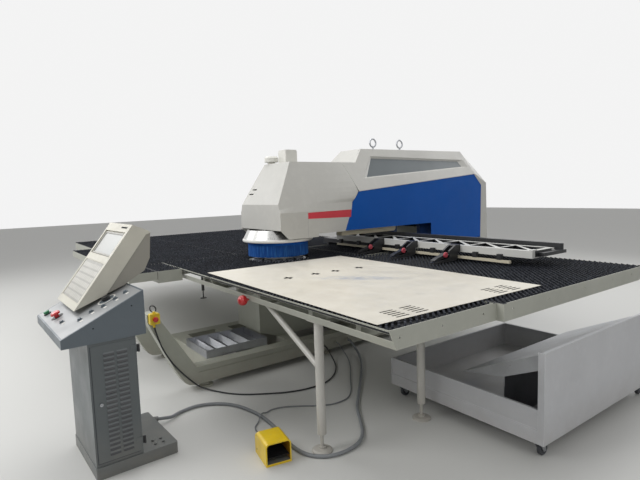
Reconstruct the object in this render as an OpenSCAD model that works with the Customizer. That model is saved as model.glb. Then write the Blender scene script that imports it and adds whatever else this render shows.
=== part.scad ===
// Turret punch press for sheet metal, with its brush tables, operator console,
// foot pedal and wheeled parts trolley. Millimetres, Z up.
// The origin is on the floor under the axis of the tool turret. X runs along the
// sheet clamps, Y runs from the operator's side to the back of the press.

/* [Brush tables] */
// Height of the brush tips above the floor
table_h = 944; // [850:1:1050]
// Depth of the side plates of the table frames
side_h = 106; // [80:1:140]
// Sheet thickness of the table frames
plate_t = 4; // [3:0.5:6]
// Width of the flange folded in under the side plates
flange_w = 45; // [30:1:60]
// Reach of the right table from the turret axis
right_reach = 2680; // [2200:10:3000]
// How far the rear right table stands out past the front one
rear_step = 50; // [20:1:80]
// Reach of the left table from the turret axis
left_reach = 4000; // [3400:10:4400]
// Distance of the front table edge from the turret axis
front_y = 1025; // [900:5:1200]
// Distance of the joint between front and rear right tables
split_y = 176; // [100:1:300]
// Distance of the rear table edge from the turret axis
rear_y = 1703; // [1600:1:1800]
// Half width of the centre table beside the turret
centre_half = 600; // [560:1:640]
// Width of the slot in which a saddle foot travels
foot_slot = 80; // [70:1:100]
// How far the front plates lean in towards their lower edge
front_lean = 45; // [0:1:60]
// Length of the brush tufts above the deck
brush_h = 26; // [18:1:35]
// Distance between two rows of tufts
brush_pitch = 30; // [25:1:60]

/* [Turret] */
// Radius of the turret discs
turret_r = 280; // [240:1:290]
// Number of tool stations
stations = 12; // [6:1:12]
// Radius of the circle of stations
station_r = 215; // [170:1:225]
// Radius of a punch guide
punch_r = 32; // [20:1:36]
// Thickness of the upper turret
upper_t = 100; // [80:1:110]
// Radius of the turret shafts
shaft_r = 40; // [30:1:48]
// Gap between the upper turret and the blue brush skirt round the tools
skirt_gap = 2; // [2:1:12]
// Height of the brush skirt
skirt_h = 119; // [90:1:125]
// Thickness of the brush skirt
skirt_t = 28; // [15:1:35]

/* [Frame and covers] */
// Half width of the covers at their widest
cover_half = 400; // [380:1:430]
// Wall of the covers
cover_t = 4; // [3:0.5:6]
// Half width of the C-frame over its two side plates
frame_half = 230; // [200:1:240]
// Thickness of a C-frame side plate
frame_t = 60; // [40:1:70]
// Height of the head cover's roof above the brush tips
head_rise = 961; // [946:1:976]
// Height of the rear cover's roof above the brush tips
rear_rise = 1116; // [1096:1:1156]
// Back of the covers
back_y = 3000; // [2980:1:3060]
// Depth of the throat behind the turret axis
throat_y = 1893; // [1880:1:1950]
// Height of the upper arm's underside above the brush tips
throat_open = 256; // [251:1:271]
// Outer half width of the floor beams
beam_half = 550; // [500:1:600]
// Width of a floor beam
beam_w = 120; // [80:1:140]
// Height of a floor beam
beam_h = 146; // [100:1:150]
// Clearance of the floor beams above the floor
floor_gap = 50; // [30:1:60]

/* [Sheet axes] */
// Front face of the sheet carriage at rest
carriage_y = 1000; // [980:1:1040]
// Right end of the sheet carriage at rest
carriage_x = 2210; // [2100:1:2300]
// Length of the sheet carriage
carriage_len = 2500; // [2300:10:2600]
// Depth of the sheet carriage
carriage_w = 330; // [300:1:340]
// Thickness of the sheet carriage
carriage_t = 60; // [50:1:65]
// Gap between brush tips and the carriage
carriage_gap = 76; // [74:1:84]
// Distance of the left clamp from the right end of the carriage
clamp_1_in = 1720; // [1640:1:1780]
// Distance of the middle clamp from the right end of the carriage
clamp_2_in = 1245; // [1180:1:1300]
// Distance of the right clamp from the right end of the carriage
clamp_3_in = 735; // [660:1:780]
// Width of a clamp
clamp_w = 84; // [70:1:100]
// Reach of a clamp in front of the carriage
clamp_reach = 330; // [280:1:360]

/* [Work sheet] */
// Length of the sheet along the clamps
sheet_l = 2162; // [1800:1:2200]
// Width of the sheet
sheet_w = 1430; // [1000:1:1440]
// Thickness of the sheet
sheet_t = 1.5; // [1:0.1:3]

/* [Console] */
// Length of the console base plate
base_l = 478; // [460:1:600]
// Width of the console base plate
base_w = 550; // [545:1:620]
// Height of the console base plate
base_t = 72; // [60:1:100]
// Width of the cabinet across its door
cab_w = 264; // [250:1:320]
// Depth of the cabinet behind its door
cab_d = 530; // [500:1:530]
// Height of the cabinet with its base
cab_h = 797; // [760:1:830]
// Width of the desk across the operator
desk_w = 765; // [760:1:800]
// Length of the desk away from the operator
desk_l = 455; // [445:1:475]
// Width of the control housing
housing_w = 500; // [440:1:500]

/* [Trolley] */
// Length of the trolley along the clamp direction
bin_x = 1234; // [1100:1:1300]
// Depth of the trolley under the table
bin_y = 1500; // [1300:10:1700]
// Height of the tall side of the trolley
bin_high = 650; // [600:1:680]
// Height of the low sides of the trolley
bin_low = 300; // [250:1:340]
// Sheet thickness of the trolley
bin_t = 3; // [2:0.5:4]
// Radius of a trolley wheel
wheel_r = 40; // [35:1:45]
// Tread width of a trolley wheel
wheel_w = 26; // [20:1:32]

/* [Hidden] */
$fn = 48;

cover_grey = [0.76, 0.75, 0.72];
panel_blue = [0.05, 0.33, 0.68];
table_grey = [0.67, 0.67, 0.63];
brush_black = [0.10, 0.11, 0.12];
steel = [0.62, 0.63, 0.65];
dark = [0.13, 0.13, 0.14];
console_grey = [0.38, 0.42, 0.44];
beige = [0.80, 0.78, 0.72];
signal_red = [0.80, 0.16, 0.14];
signal_yellow = [0.93, 0.78, 0.08];

// Clearance of pieces that slide or turn on each other
run_gap = 0.5;
// Clearance of a shaft in its bore
shaft_gap = 0.08;

// Table levels
deck_t = 4;
lip_drop = 6;
deck_z = table_h - brush_h;
frame_top = table_h - lip_drop;
frame_z = frame_top - side_h;
bar_w = 40;
opening_r = 300;
slot_in = centre_half - foot_slot;
slot_front = 720;
left_front_y = 1246;
front_table_y = 1500;
notch_x = -20;
front_table_x = -2680;

// Floor frame and C-frame
beam_top = floor_gap + beam_h;
beam_front = -1153;
beam_rear = 2800;
frame_back = back_y - 240;
web_t = 40;
plate_in = frame_half - frame_t;
arm_top = frame_z;
arm_front = -380;
turret_bay = turret_r + 45;
lower_bay_z = table_h - 244;
head_web_z = table_h + 386;
head_web_t = 20;
head_top = table_h + head_rise;
rear_top = table_h + rear_rise;
throat_top = table_h + throat_open;
frame_roof = head_top - 55;

// Turret levels
skirt_z = table_h + 30;
skirt_top = skirt_z + skirt_h;
skirt_in = turret_r + skirt_gap;
skirt_r = skirt_in + skirt_t;
rim_z = skirt_top + 25;
rim_h = 32;
rim_t = 4;
rim_r = cover_half - 38;
rim_in = turret_r + 6;
window_z = rim_z + 124;
rim_top = window_z - 4;
rim_top_r = turret_r + 26;
upper_top = window_z - 36;
upper_z = upper_top - upper_t;
punch_tip_z = table_h + 20;
punch_head = 8;
lower_top = table_h - 16;
lower_t = 150;
die_r = 40;
hanger_x = rim_top_r - 14;
motor_r = 98;
motor_h = 240;
cylinder_r = 105;
cylinder_z = head_web_z + 90;
cylinder_h = 380;
ram_r = 38;
ram_gap = 32;
ram_top = cylinder_z + 160;

// Sheet axes levels
carriage_z = table_h + carriage_gap;
saddle_w = 320;
saddle_t = 50;
saddle_x = 640;
foot_w = 48;
rail_w = 24;
rail_h = 28;
rail_beam_h = 110;
rail_x = centre_half - foot_slot / 2;
rail_z = frame_z - 2;
rail_front = slot_front + 10;
rail_rear = throat_y - 5;
carriage_left = carriage_x - carriage_len;
bar_right = carriage_x - 180;
clamp_xs = [for (d = [clamp_1_in, clamp_2_in, clamp_3_in]) carriage_x - d];
jaw_pivot_y = carriage_y - 120;
jaw_pivot_z = table_h + 62;
jaw_t = 12;

// Work sheet place
sheet_c = [right_reach - 80 - sheet_l / 2, 35 - front_y + sheet_w / 2];
sheet_turn = -1.2;

// Console place: the near lower corner of its base and its turn
console_at = [1419, -2110, 0];
console_turn = 2;
cab_x = 10;
cab_y = 4;
cab_t = 2;
door_gap = 3;
desk_x = 0;
desk_y = -127;
desk_z = cab_h;
desk_front_h = 52;
desk_slope = 24.9;
desk_back_h = desk_front_h + desk_l * tan(desk_slope);
housing_x = 260;

// Pedal, stop box and trolley places
pedal_at = [1822, -1192, 0];
pedal_turn = -11;
stop_at = [beam_half, -1482, 667];
trolley_at = [right_reach - 1025, 156 - split_y, 0];
bin_z = 2 * wheel_r + 20;
caster_in = 60;
caster_trail = 28;

// Cable routes, chosen by hand
cable_steps = 3;
conduit_d = 24;
conduit_route = [[950, -1615, 44], [948, -1572, 36], [930, -1510, 20], [880, -1425, 13],
  [862, -1290, 13], [930, -1150, 13], [1070, -1050, 13], [1300, -1000, 13], [1560, -1010, 13],
  [1800, -1048, 13], [1950, -1035, 13], [2045, -960, 13], [2078, -840, 13], [2050, -700, 13],
  [1960, -590, 13], [1820, -490, 13], [1650, -370, 13], [1440, -170, 13], [1200, 60, 13],
  [960, 270, 14], [780, 390, 24], [670, 428, 60], [612, 436, 94], [572, 436, 104]];
pedal_d = 10;
pedal_route = [[1699.3, -1168.2, 26], [1660, -1160.6, 20], [1600, -1148, 9], [1520, -1132, 6],
  [1440, -1108, 6],
  [1387, -1055, 8], [1358, -1024, 25], [1335, -1000, 32], [1316, -972, 25], [1292, -935, 8],
  [1272, -870, 6], [1296, -780, 6], [1360, -680, 6], [1440, -570, 6], [1490, -460, 6],
  [1480, -330, 6], [1390, -215, 6], [1200, -60, 6], [980, 120, 7], [800, 240, 12],
  [680, 278, 54], [612, 286, 94], [572, 286, 104]];
stop_d = 12;
stop_route = [[566, -1482, 600], [562, -1468, 540], [559, -1430, 420], [559, -1370, 300],
  [559, -1300, 200], [560, -1225, 112], [574, -1160, 46], [604, -1105, 15], [680, -1060, 8],
  [800, -990, 7], [900, -900, 7], [1000, -760, 7], [1085, -610, 7], [1130, -440, 7],
  [1120, -270, 7], [1040, -120, 7], [910, 10, 8], [780, 90, 14], [680, 126, 46],
  [612, 132, 92], [572, 132, 104]];

// A prism with its outline in the YZ plane, from x0 to x1
module yz_prism(x0, x1, outline) {
  translate([x0, 0, 0])
    rotate([90, 0, 90])
      linear_extrude(height = x1 - x0)
        polygon(outline);
}

// A prism with its outline in the XZ plane, from y0 to y1
module xz_prism(y0, y1, outline) {
  translate([0, y1, 0])
    rotate([90, 0, 0])
      linear_extrude(height = y1 - y0)
        polygon(outline);
}

// The same shape on both sides of the YZ plane
module both_sides() {
  children();
  mirror([1, 0, 0]) children();
}

// A flat plate with rounded corners
module round_plate(size, r, h) {
  linear_extrude(height = h)
    union() {
      translate([r, 0]) square([size[0] - 2 * r, size[1]]);
      translate([0, r]) square([size[0], size[1] - 2 * r]);
      for (x = [r, size[0] - r], y = [r, size[1] - r])
        translate([x, y]) circle(r);
    }
}

// A bar from point a to point b
module rod(a, b, r) {
  d = b - a;
  translate(a)
    rotate([0, acos(d[2] / norm(d)), atan2(d[1], d[0])])
      cylinder(r = r, h = norm(d));
}

// Cables: a tube swept along a list of points
function unit(v) = v / norm(v);
function along(p, i) = unit(p[min(i + 1, len(p) - 1)] - p[max(i - 1, 0)]);
function spline(p0, p1, p2, p3, t) =
  0.5 * (2 * p1 + (p2 - p0) * t + (2 * p0 - 5 * p1 + 4 * p2 - p3) * t * t
    + (3 * p1 - p0 - 3 * p2 + p3) * t * t * t);
function smooth(p) = concat(
  [for (i = [0:len(p) - 2], s = [0:cable_steps - 1])
    spline(p[max(i - 1, 0)], p[i], p[i + 1], p[min(i + 2, len(p) - 1)], s / cable_steps)],
  [p[len(p) - 1]]);

module cable(route, d, sides) {
  p = smooth(route);
  n = len(p);
  rings = [for (i = [0:n - 1])
    let (t = along(p, i),
      side = unit(cross(t, abs(t[2]) > 0.8 ? [1, 0, 0] : [0, 0, 1])),
      up = cross(side, t))
    for (k = [0:sides - 1])
      p[i] + d / 2 * (side * cos(360 * k / sides) + up * sin(360 * k / sides))];
  loft(rings, sides);
}

// A solid through a row of closed rings with m points each
module loft(points, m) {
  n = len(points) / m;
  skin = [for (i = [0:n - 2], k = [0:m - 1], half = [0, 1])
    let (a = i * m + k, b = i * m + (k + 1) % m)
      half == 0 ? [a, b, b + m] : [a, b + m, a + m]];
  start = [[for (k = [m - 1:-1:0]) k]];
  end = [[for (k = [0:m - 1]) (n - 1) * m + k]];
  polyhedron(points = points, faces = concat(start, skin, end), convexity = 10);
}

// A gland on the first or last point of a cable
module gland(route, r, reach, last = false) {
  p = smooth(route);
  n = len(p) - 1;
  if (last)
    rod(p[n], p[n] + reach * along(p, n), r);
  else
    rod(p[0] - reach * along(p, 0), p[0], r);
}

// Floor frame: two beams, cross members and the two raked front arms
beam_in = beam_half - beam_w;
arm_rake = [[beam_front - 4, beam_top], [-1433, 647], [-1440, 700], [-1530, 700],
  [-1530, 640], [-1336, 215], [-1262, 88], [-1225, 60], [-1180, floor_gap],
  [beam_front + 60, floor_gap]];
groove_z = floor_gap + 98;
arm_crease = 560;

module floor_beam() {
  difference() {
    union() {
      translate([beam_in, beam_front, floor_gap])
        cube([beam_w, beam_rear - beam_front, beam_h]);
      yz_prism(beam_in, beam_half, arm_rake);
    }
    // long groove between the two stacked sections of the beam
    translate([beam_half - 6, beam_front + 10, groove_z])
      cube([7, beam_rear - beam_front, 8]);
    // folded crease down the outer face of the arm
    translate([beam_half, -1478, 690])
      rotate([-32.5, 0, 0])
        translate([0, 0, -arm_crease])
          rotate([0, 0, 45]) cube([6, 6, arm_crease]);
  }
}

module levelling_foot(x, y, top) {
  translate([x, y, 0]) {
    cylinder(r = 60, h = 16);
    translate([0, 0, 16]) cylinder(r1 = 30, r2 = 24, h = 14, $fn = 48);
    translate([0, 0, 30]) cylinder(r = 15, h = top - 30);
  }
}

feet_y = [-1060, 200, 1500, 2700];
cross_y = [-1000, -560, -200, 600, 1500, 2560];

module base_frame() {
  color(table_grey) {
    both_sides() floor_beam();
    for (y = cross_y)
      translate([-beam_in, y, floor_gap + 10])
        cube([2 * beam_in, 140, beam_h - 10]);
    gland(conduit_route, conduit_d / 2 + 6, 30, true);
    gland(pedal_route, pedal_d / 2 + 5, 30, true);
    gland(stop_route, stop_d / 2 + 5, 30, true);
  }
  color(dark)
    both_sides()
      for (y = feet_y)
        levelling_foot(beam_half - beam_w / 2, y, floor_gap);
}

// C-frame: two flame-cut side plates
frame_outline = [[arm_front, 260], [arm_front, arm_top], [-turret_bay, arm_top],
  [-turret_bay, lower_bay_z], [turret_bay, lower_bay_z],
  [turret_bay, arm_top], [throat_y - 60, arm_top], [throat_y, arm_top + 60],
  [throat_y, throat_top - 60], [throat_y - 60, throat_top], [turret_bay, throat_top],
  [turret_bay, head_web_z], [-150, head_web_z], [-150, frame_roof - 350], [60, frame_roof],
  [frame_back - 360, frame_roof], [frame_back - 60, frame_roof - 190],
  [frame_back, frame_roof - 350], [frame_back, beam_top], [-200, beam_top]];

module c_frame() {
  color(panel_blue)
    both_sides() yz_prism(plate_in, frame_half, frame_outline);
}

// A web between the side plates
module web(y, z, size_y, size_z) {
  translate([-plate_in, y, z]) cube([2 * plate_in, size_y, size_z]);
}

// A web over the turret with holes for the turret's drive and the ram
module head_web(z, shaft_hole) {
  difference() {
    web(-150, z, turret_bay + 170, head_web_t);
    translate([0, 0, z - 1]) cylinder(r = shaft_hole, h = head_web_t + 2);
    translate([0, station_r, z - 1]) cylinder(r = ram_r + 2, h = head_web_t + 2);
  }
}

// Arms on both side plates that carry the covers
module cover_arm(y, z, reach) {
  both_sides()
    translate([frame_half, y, z]) cube([reach - frame_half, 40, 40]);
}

floor_web_t = 24;

// Webs between the side plates, arms for the covers and hangers of the turret rim
module frame_webs() {
  color(table_grey) {
    head_web(head_web_z, shaft_r + 3);
    head_web(cylinder_z, motor_r + 2);
    difference() {
      web(arm_front, lower_bay_z - 20, turret_bay - arm_front, 20);
      translate([0, 0, lower_bay_z - 21]) cylinder(r = shaft_r + 3, h = 22);
    }
    web(arm_front, 260, 30, lower_bay_z - 280);
    web(turret_bay, arm_top - web_t, throat_y - 60 - turret_bay, web_t);
    web(turret_bay + 30, throat_top, throat_y - 90 - turret_bay, web_t);
    web(throat_y, arm_top + 60, web_t, throat_top - arm_top - 120);
    web(60, frame_roof - web_t, frame_back - 420, web_t);
    web(frame_back - web_t, beam_top + floor_web_t + run_gap, web_t,
      frame_roof - 450 - beam_top);
    web(-200, beam_top, frame_back + 160, floor_web_t);
    // bar behind the ram that carries the head cover
    translate([cover_t - cover_half, station_r + ram_r + 30, head_web_z - 40])
      cube([2 * (cover_half - cover_t), 40, 40]);
    both_sides() {
      translate([frame_half, -20, head_web_z])
        cube([hanger_x + 20 - frame_half, 40, head_web_t]);
      translate([hanger_x, -20, rim_top])
        cube([20, 40, head_web_z + head_web_t - rim_top]);
    }
    cover_arm(1300, throat_top + 200, cover_half - 2 * cover_t);
    cover_arm(frame_back - 260, throat_top + 100, cover_half - 2 * cover_t);
    cover_arm(frame_back - 160, cover_low + 95, cover_half - 2 * cover_t);
  }
}

// Head cover: a straight lower shell, a chamfered shoulder and an upper shell
// whose sides lean in towards the roof
head_front = -205;
nose_slot_x = -110;
head_lip = window_z - 87;
head_step = window_z - 55;
ledge_z = window_z + 168;
nose_bend = window_z + 248;
nose_top = [245, 18, head_top];
shoulder_in = 18;
swell = 40;
crease_low = window_z + 356;
crease_y = 778;
seam_top = [240, 678, head_top];
seam_mid = [crease_y - 2, crease_low - 2];
seam_low = [575, window_z - 57];
section_y = [-225, -165, -105, -61, 30, 130, 230, 330, 430, 530, 630, 730, 800, 860];
section_v = [0, 0.08, 0.16, 0.25, 0.36, 0.5, 0.7, 1];

module head_lower(w) {
  lip = w > 0 ? 9 : 0;
  yz_prism(-cover_half + w, cover_half - w, [[head_front + w, window_z],
    [-118 + w, head_lip - lip], [235 + w, head_lip - lip], [235 + w, head_step - lip],
    [seam_low[0] + w, head_step - lip], [668 + w, ledge_z], [head_front + w, ledge_z]]);
}

// Height of the shoulder's upper edge
function shoulder_z(y) = window_z + (y < -61 ? 192 + 0.184 * (y + 224) : 222 + 0.037 * (y + 61));

// Half a cross section of the upper shell at y, moved in by w. The side swells out
// towards the crease of the rear cover.
function half_section(y, w) =
  let (s = min(max((y - nose_top[1]) / (crease_y - nose_top[1]), 0), 1),
    foot = [cover_half - shoulder_in + 8 * s, shoulder_z(y)])
  concat([[cover_half - w, ledge_z - 60], [cover_half - w, ledge_z - w / 2]],
    [for (v = section_v)
      [foot[0] + (nose_top[0] - 5 * s - foot[0]) * v
          + swell * s * s * sin(180 * pow(v, 0.6)) - w,
        foot[1] + (head_top - foot[1]) * v - w * (1 + v) / 2]]);

function section(y, w) =
  let (half = half_section(y, w), n = len(half))
  [for (k = [0:2 * n - 1])
    let (p = half[k < n ? k : 2 * n - 1 - k]) [k < n ? p[0] : -p[0], y, p[1]]];

// Side view of the upper shell, its back moved back and its lower edge moved down
function head_outline(back, low) = [[head_front, ledge_z - low],
  [660 + back, ledge_z - low], [668 + back, ledge_z], [686 + back, window_z + 238],
  seam_mid + [back, 0], [seam_top[1] + back, head_top], [nose_top[1], head_top],
  [head_front, nose_bend]];

module head_upper(w) {
  intersection() {
    loft([for (y = section_y) each section(y, w)], 2 * len(section_v) + 4);
    yz_prism(-cover_half - 1, cover_half + 1,
      w > 0 ? inset(head_outline(40, 50 + w), w) : head_outline(-1, 20));
  }
}

module head_cover() {
  color(cover_grey)
    difference() {
      union() {
        head_lower(0);
        head_upper(0);
      }
      head_lower(cover_t);
      head_upper(cover_t);
      // the space under the slanted front edge is open
      yz_prism(-cover_half + cover_t, cover_half - cover_t, [[head_front - 10, window_z],
        [-118, head_lip - 20], [0, head_lip - 20], [0, window_z]]);
      // two vent slots on the sloped nose
      for (i = [0, 1])
        translate([nose_slot_x - 190 + 30 * i, head_front + 40 + 25 * i, nose_bend + 100 + 46 * i])
          cube([90, 60, 12]);
      translate([cap_at[0], cap_at[1], head_top - 20]) cylinder(r = 20, h = 40);
    }
}

// Rounded lip and bare metal cone under the nose, open round the turret
module head_rim() {
  color([0.88, 0.87, 0.84])
    rotate_extrude($fn = 96)
      polygon([[rim_in, rim_z], [rim_r - 10, rim_z], [rim_r - 2, rim_z + 6],
        [rim_r, rim_z + 14], [rim_r - 2, rim_z + rim_h - 6], [rim_r - 10, rim_z + rim_h],
        [rim_top_r, rim_top], [rim_top_r - 10, rim_top], [rim_top_r - 10, rim_top - rim_t],
        [rim_top_r - rim_t, rim_top - rim_t], [rim_r - 18, rim_z + rim_h - 4],
        [rim_r - 18, rim_z + 8], [rim_in, rim_z + 8]]);
}

// Brush skirt of blue bristles round the tools
module brush_skirt() {
  color([0.08, 0.32, 0.62])
    difference() {
      union() {
        translate([0, 0, skirt_z])
          cylinder(r = skirt_r, h = skirt_h, $fn = 96);
        translate([0, 0, skirt_top])
          cylinder(r = skirt_r - 8, h = rim_z - skirt_top, $fn = 96);
      }
      translate([0, 0, skirt_z - 1])
        cylinder(r = skirt_in, h = rim_z - skirt_z + 2, $fn = 96);
      for (a = [0:7.5:359])
        rotate([0, 0, a])
          translate([skirt_r + 1, 0, skirt_z - 1])
            cylinder(r = 5, h = skirt_h - 18, $fn = 16);
    }
}

// Rear cover: a hood whose sides lean in above a rising crease. The leaning
// side is one plane through the crease and the crown.
crease_a = [crease_y, crease_low];
crease_end = back_y - 265;
crease_rise = 0.0889;
lean = 0.508;
crown_y = [1002, back_y - 370];
facet_y = 862;
rear_bevel = [back_y - 25, crease_low + 53];
cover_low = table_h - 39;
panel_back = back_y - 128;
eye_y = [1349, 1789];
eye_ring = 46;

function crease_z(y) = crease_a[1] + (y - crease_a[0]) * crease_rise;
function lean_x(y, z) = cover_half - (z - crease_z(y)) * lean;

// Holds a child on the right leaning side: X outwards, Y along the crease, Z upwards
module on_lean() {
  translate([cover_half, crease_a[0], crease_a[1]])
    rotate([atan(crease_rise), 0, 0])
      rotate([0, -atan(lean), 0])
        children();
}

// The two planes that trim each upper edge of the hood, moved in by w
module hood_trim(w) {
  on_lean() translate([-w, -2000, -1000]) cube([600, 6000, 3000]);
  translate([cover_half, crease_end, crease_z(crease_end)])
    rotate([0, -31.3, 17.8])
      translate([-w, -900, -900]) cube([600, 1800, 1800]);
}

module hood(w, outline) {
  difference() {
    yz_prism(-cover_half + w, cover_half - w, outline);
    both_sides() hood_trim(w);
  }
}

// Moves each side of a counter-clockwise outline in by d
function inset(p, d) = [for (i = [0:len(p) - 1])
  let (u = unit(p[i] - p[(i + len(p) - 1) % len(p)]), v = unit(p[(i + 1) % len(p)] - p[i]))
    p[i] + d * [-u[1] - v[1], u[0] + v[0]] / (1 + u * v)];

hood_outline = [[crease_a[0], cover_low], [back_y, cover_low], rear_bevel,
  [crown_y[1], rear_top], [crown_y[0], rear_top], [facet_y, head_top],
  [seam_top[1], head_top], crease_a];
mouth_outline = [[500, cover_low - 100], [panel_back - 20, cover_low - 100],
  [panel_back - 20, cover_low + 50], [crease_a[0] + 40, crease_a[1]],
  [seam_top[1] + 20, head_top - cover_t], [seam_top[1] - 60, head_top - cover_t],
  [crease_a[0] - 200, crease_a[1]]];

wedge_floor = [[369, 370], [1762, 203], [1789, 129], [202, 154]];
wedge_rim = [[356, 394], [1869, 209], [1898, 102], [120, 134]];
wedge_deep = 18;
side_open = [[500, cover_low - 100], [panel_back - 20, cover_low - 100],
  [panel_back - 16, cover_low + 45], [panel_back, rear_bevel[1] - 27],
  [crease_end - 12, crease_z(crease_end) - 8], [crease_a[0], crease_a[1] - 6],
  [500, crease_a[1] - 6]];

module rear_cover() {
  color(cover_grey)
    difference() {
      union() {
        difference() {
          hood(0, hood_outline);
          hood(cover_t, inset(hood_outline, cover_t));
          hood(cover_t, mouth_outline);
          // open underside and side openings that the coloured panels fill
          yz_prism(-cover_half - 1, cover_half + 1, side_open);
          for (y = eye_y)
            translate([0, y, rear_top - 20]) cylinder(r = 14, h = 40);
        }
        // walls of the wedge-shaped recess
        both_sides()
          on_lean()
            yz_prism(-wedge_deep - cover_t, -cover_t / 2,
              [for (p = wedge_rim) p + [p[0] < 900 ? -10 : 10, p[1] > 200 ? 8 : -8]]);
      }
      both_sides()
        on_lean()
          hull() {
            yz_prism(0.5, 1, wedge_rim);
            yz_prism(-wedge_deep, -wedge_deep + 0.5, wedge_floor);
          }
    }
}

// Coloured side panels behind the head and under the crease
module side_panels() {
  color(panel_blue)
    both_sides()
      yz_prism(cover_half - 2 * cover_t, cover_half - cover_t,
        [[seam_low[0] - 10, throat_top - 8], [throat_y + 8, throat_top - 8],
          [throat_y + 8, cover_low + 45], [panel_back - 4, cover_low + 45],
          [panel_back + 12, rear_bevel[1] - 21], [crease_end - 4, crease_z(crease_end) - 2],
          [crease_a[0] + 6, crease_a[1] - 2], [688, window_z + 238], [672, ledge_z]]);
}

// Lifting eyes screwed into the roof of the C-frame
module lifting_eyes() {
  color(steel)
    for (y = eye_y)
      translate([0, y, 0]) {
        translate([0, 0, frame_roof])
          cylinder(r = 11, h = rear_top + 42 - frame_roof);
        translate([0, 0, rear_top + 0.5]) cylinder(r = 26, h = 12);
        translate([0, 0, rear_top + 46 + eye_ring])
          rotate([0, 90, 0])
            rotate_extrude($fn = 48)
              translate([eye_ring, 0]) circle(10, $fn = 24);
      }
}

module junction_box() {
  color([0.85, 0.85, 0.83])
    translate([-98, 99, head_top]) {
      round_plate([150, 145], 10, 124);
      translate([4, 4, 124]) round_plate([142, 137], 8, 12);
    }
}

cap_at = [-174, 62];

module breather_cap() {
  color([0.85, 0.85, 0.83])
    translate([cap_at[0], cap_at[1], head_top - 10])
      rotate_extrude()
        polygon([[0, 0], [18, 0], [18, 10], [40, 10], [40, 30], [70, 30], [72, 34],
          [72, 74], [58, 90], [0, 96]]);
}

// Turrets, tools and their drives
module station_pattern() {
  for (i = [0:stations - 1])
    rotate([0, 0, 90 + i * 360 / stations])
      translate([station_r, 0, 0])
        children();
}

module upper_turret() {
  color(steel)
    difference() {
      union() {
        translate([0, 0, upper_z]) cylinder(r = turret_r, h = upper_t, $fn = 96);
        translate([0, 0, upper_top])
          cylinder(r = shaft_r, h = head_web_z + head_web_t + 90 - upper_top);
      }
      translate([0, 0, upper_z - 1]) station_pattern() cylinder(r = punch_r, h = upper_t + 2);
      // turned groove round the rim
      translate([0, 0, upper_z + upper_t / 2])
        rotate_extrude($fn = 96) translate([turret_r - 10, -12]) square([20, 24]);
    }
}

module punches() {
  color([0.45, 0.46, 0.48])
    station_pattern() {
      translate([0, 0, punch_tip_z]) cylinder(r = 14, h = upper_z - punch_tip_z);
      translate([0, 0, upper_z - 60]) cylinder(r = 26, h = 60);
      translate([0, 0, upper_z]) cylinder(r = punch_r, h = upper_t);
      translate([0, 0, upper_top]) cylinder(r = 20, h = punch_head);
    }
}

module lower_turret() {
  color(steel)
    difference() {
      union() {
        translate([0, 0, lower_top - lower_t])
          cylinder(r = turret_r, h = lower_t, $fn = 96);
        translate([0, 0, lower_bay_z - 80])
          cylinder(r = shaft_r, h = lower_top - lower_t - lower_bay_z + 80);
      }
      translate([0, 0, lower_top - lower_t - 1])
        station_pattern() cylinder(r = 22, h = lower_t + 2);
    }
}

module dies() {
  color([0.45, 0.46, 0.48])
    station_pattern()
      translate([0, 0, lower_top])
        difference() {
          cylinder(r = die_r, h = table_h - lower_top);
          translate([0, 0, -1]) cylinder(r = 14 + run_gap, h = 40);
        }
}

module gear_motor() {
  difference() {
    union() {
      cylinder(r = motor_r, h = 40);
      cylinder(r = motor_r - 16, h = motor_h);
    }
    translate([0, 0, -1]) cylinder(r = shaft_r + shaft_gap, h = 111);
  }
}

module turret_motors() {
  color(dark) {
    translate([0, 0, head_web_z + head_web_t]) gear_motor();
    translate([0, 0, lower_bay_z - 20]) mirror([0, 0, 1]) gear_motor();
  }
}

module hydraulic_cylinder() {
  color([0.3, 0.32, 0.35])
    translate([0, station_r, cylinder_z + head_web_t])
      difference() {
        union() {
          cylinder(r = cylinder_r - 6, h = cylinder_h - 120);
          translate([0, 0, cylinder_h - 120]) cylinder(r = 70, h = 40);
        }
        translate([0, 0, -1]) cylinder(r = ram_r + shaft_gap, h = cylinder_h - 160);
      }
}

module ram() {
  color([0.75, 0.76, 0.78])
    translate([0, station_r, upper_top + punch_head + ram_gap])
      cylinder(r = ram_r, h = ram_top - upper_top - punch_head - ram_gap);
}

// Hydraulic power unit inside the rear column
module hydraulic_unit() {
  color([0.25, 0.3, 0.4])
    translate([-plate_in, frame_back - 700, beam_top + floor_web_t]) {
      cube([2 * plate_in, 600, 420]);
      translate([plate_in, 300, 420]) cylinder(r = 95, h = 380);
      translate([plate_in, 300, 420]) cylinder(r = 120, h = 40);
    }
}

// Cream hose guard under the upper arm
module hose_guard() {
  color([0.87, 0.84, 0.74])
    translate([0, 0, throat_top - 70])
      difference() {
        union() {
          translate([frame_half - 40, 620, 0]) cube([95, 760, 70]);
          translate([frame_half - 40, 1380, 35])
            rotate([0, 90, 0]) cylinder(r = 35, h = 95);
        }
        translate([frame_half - 36, 624, 4]) cube([87, 752, 70]);
      }
}

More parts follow.
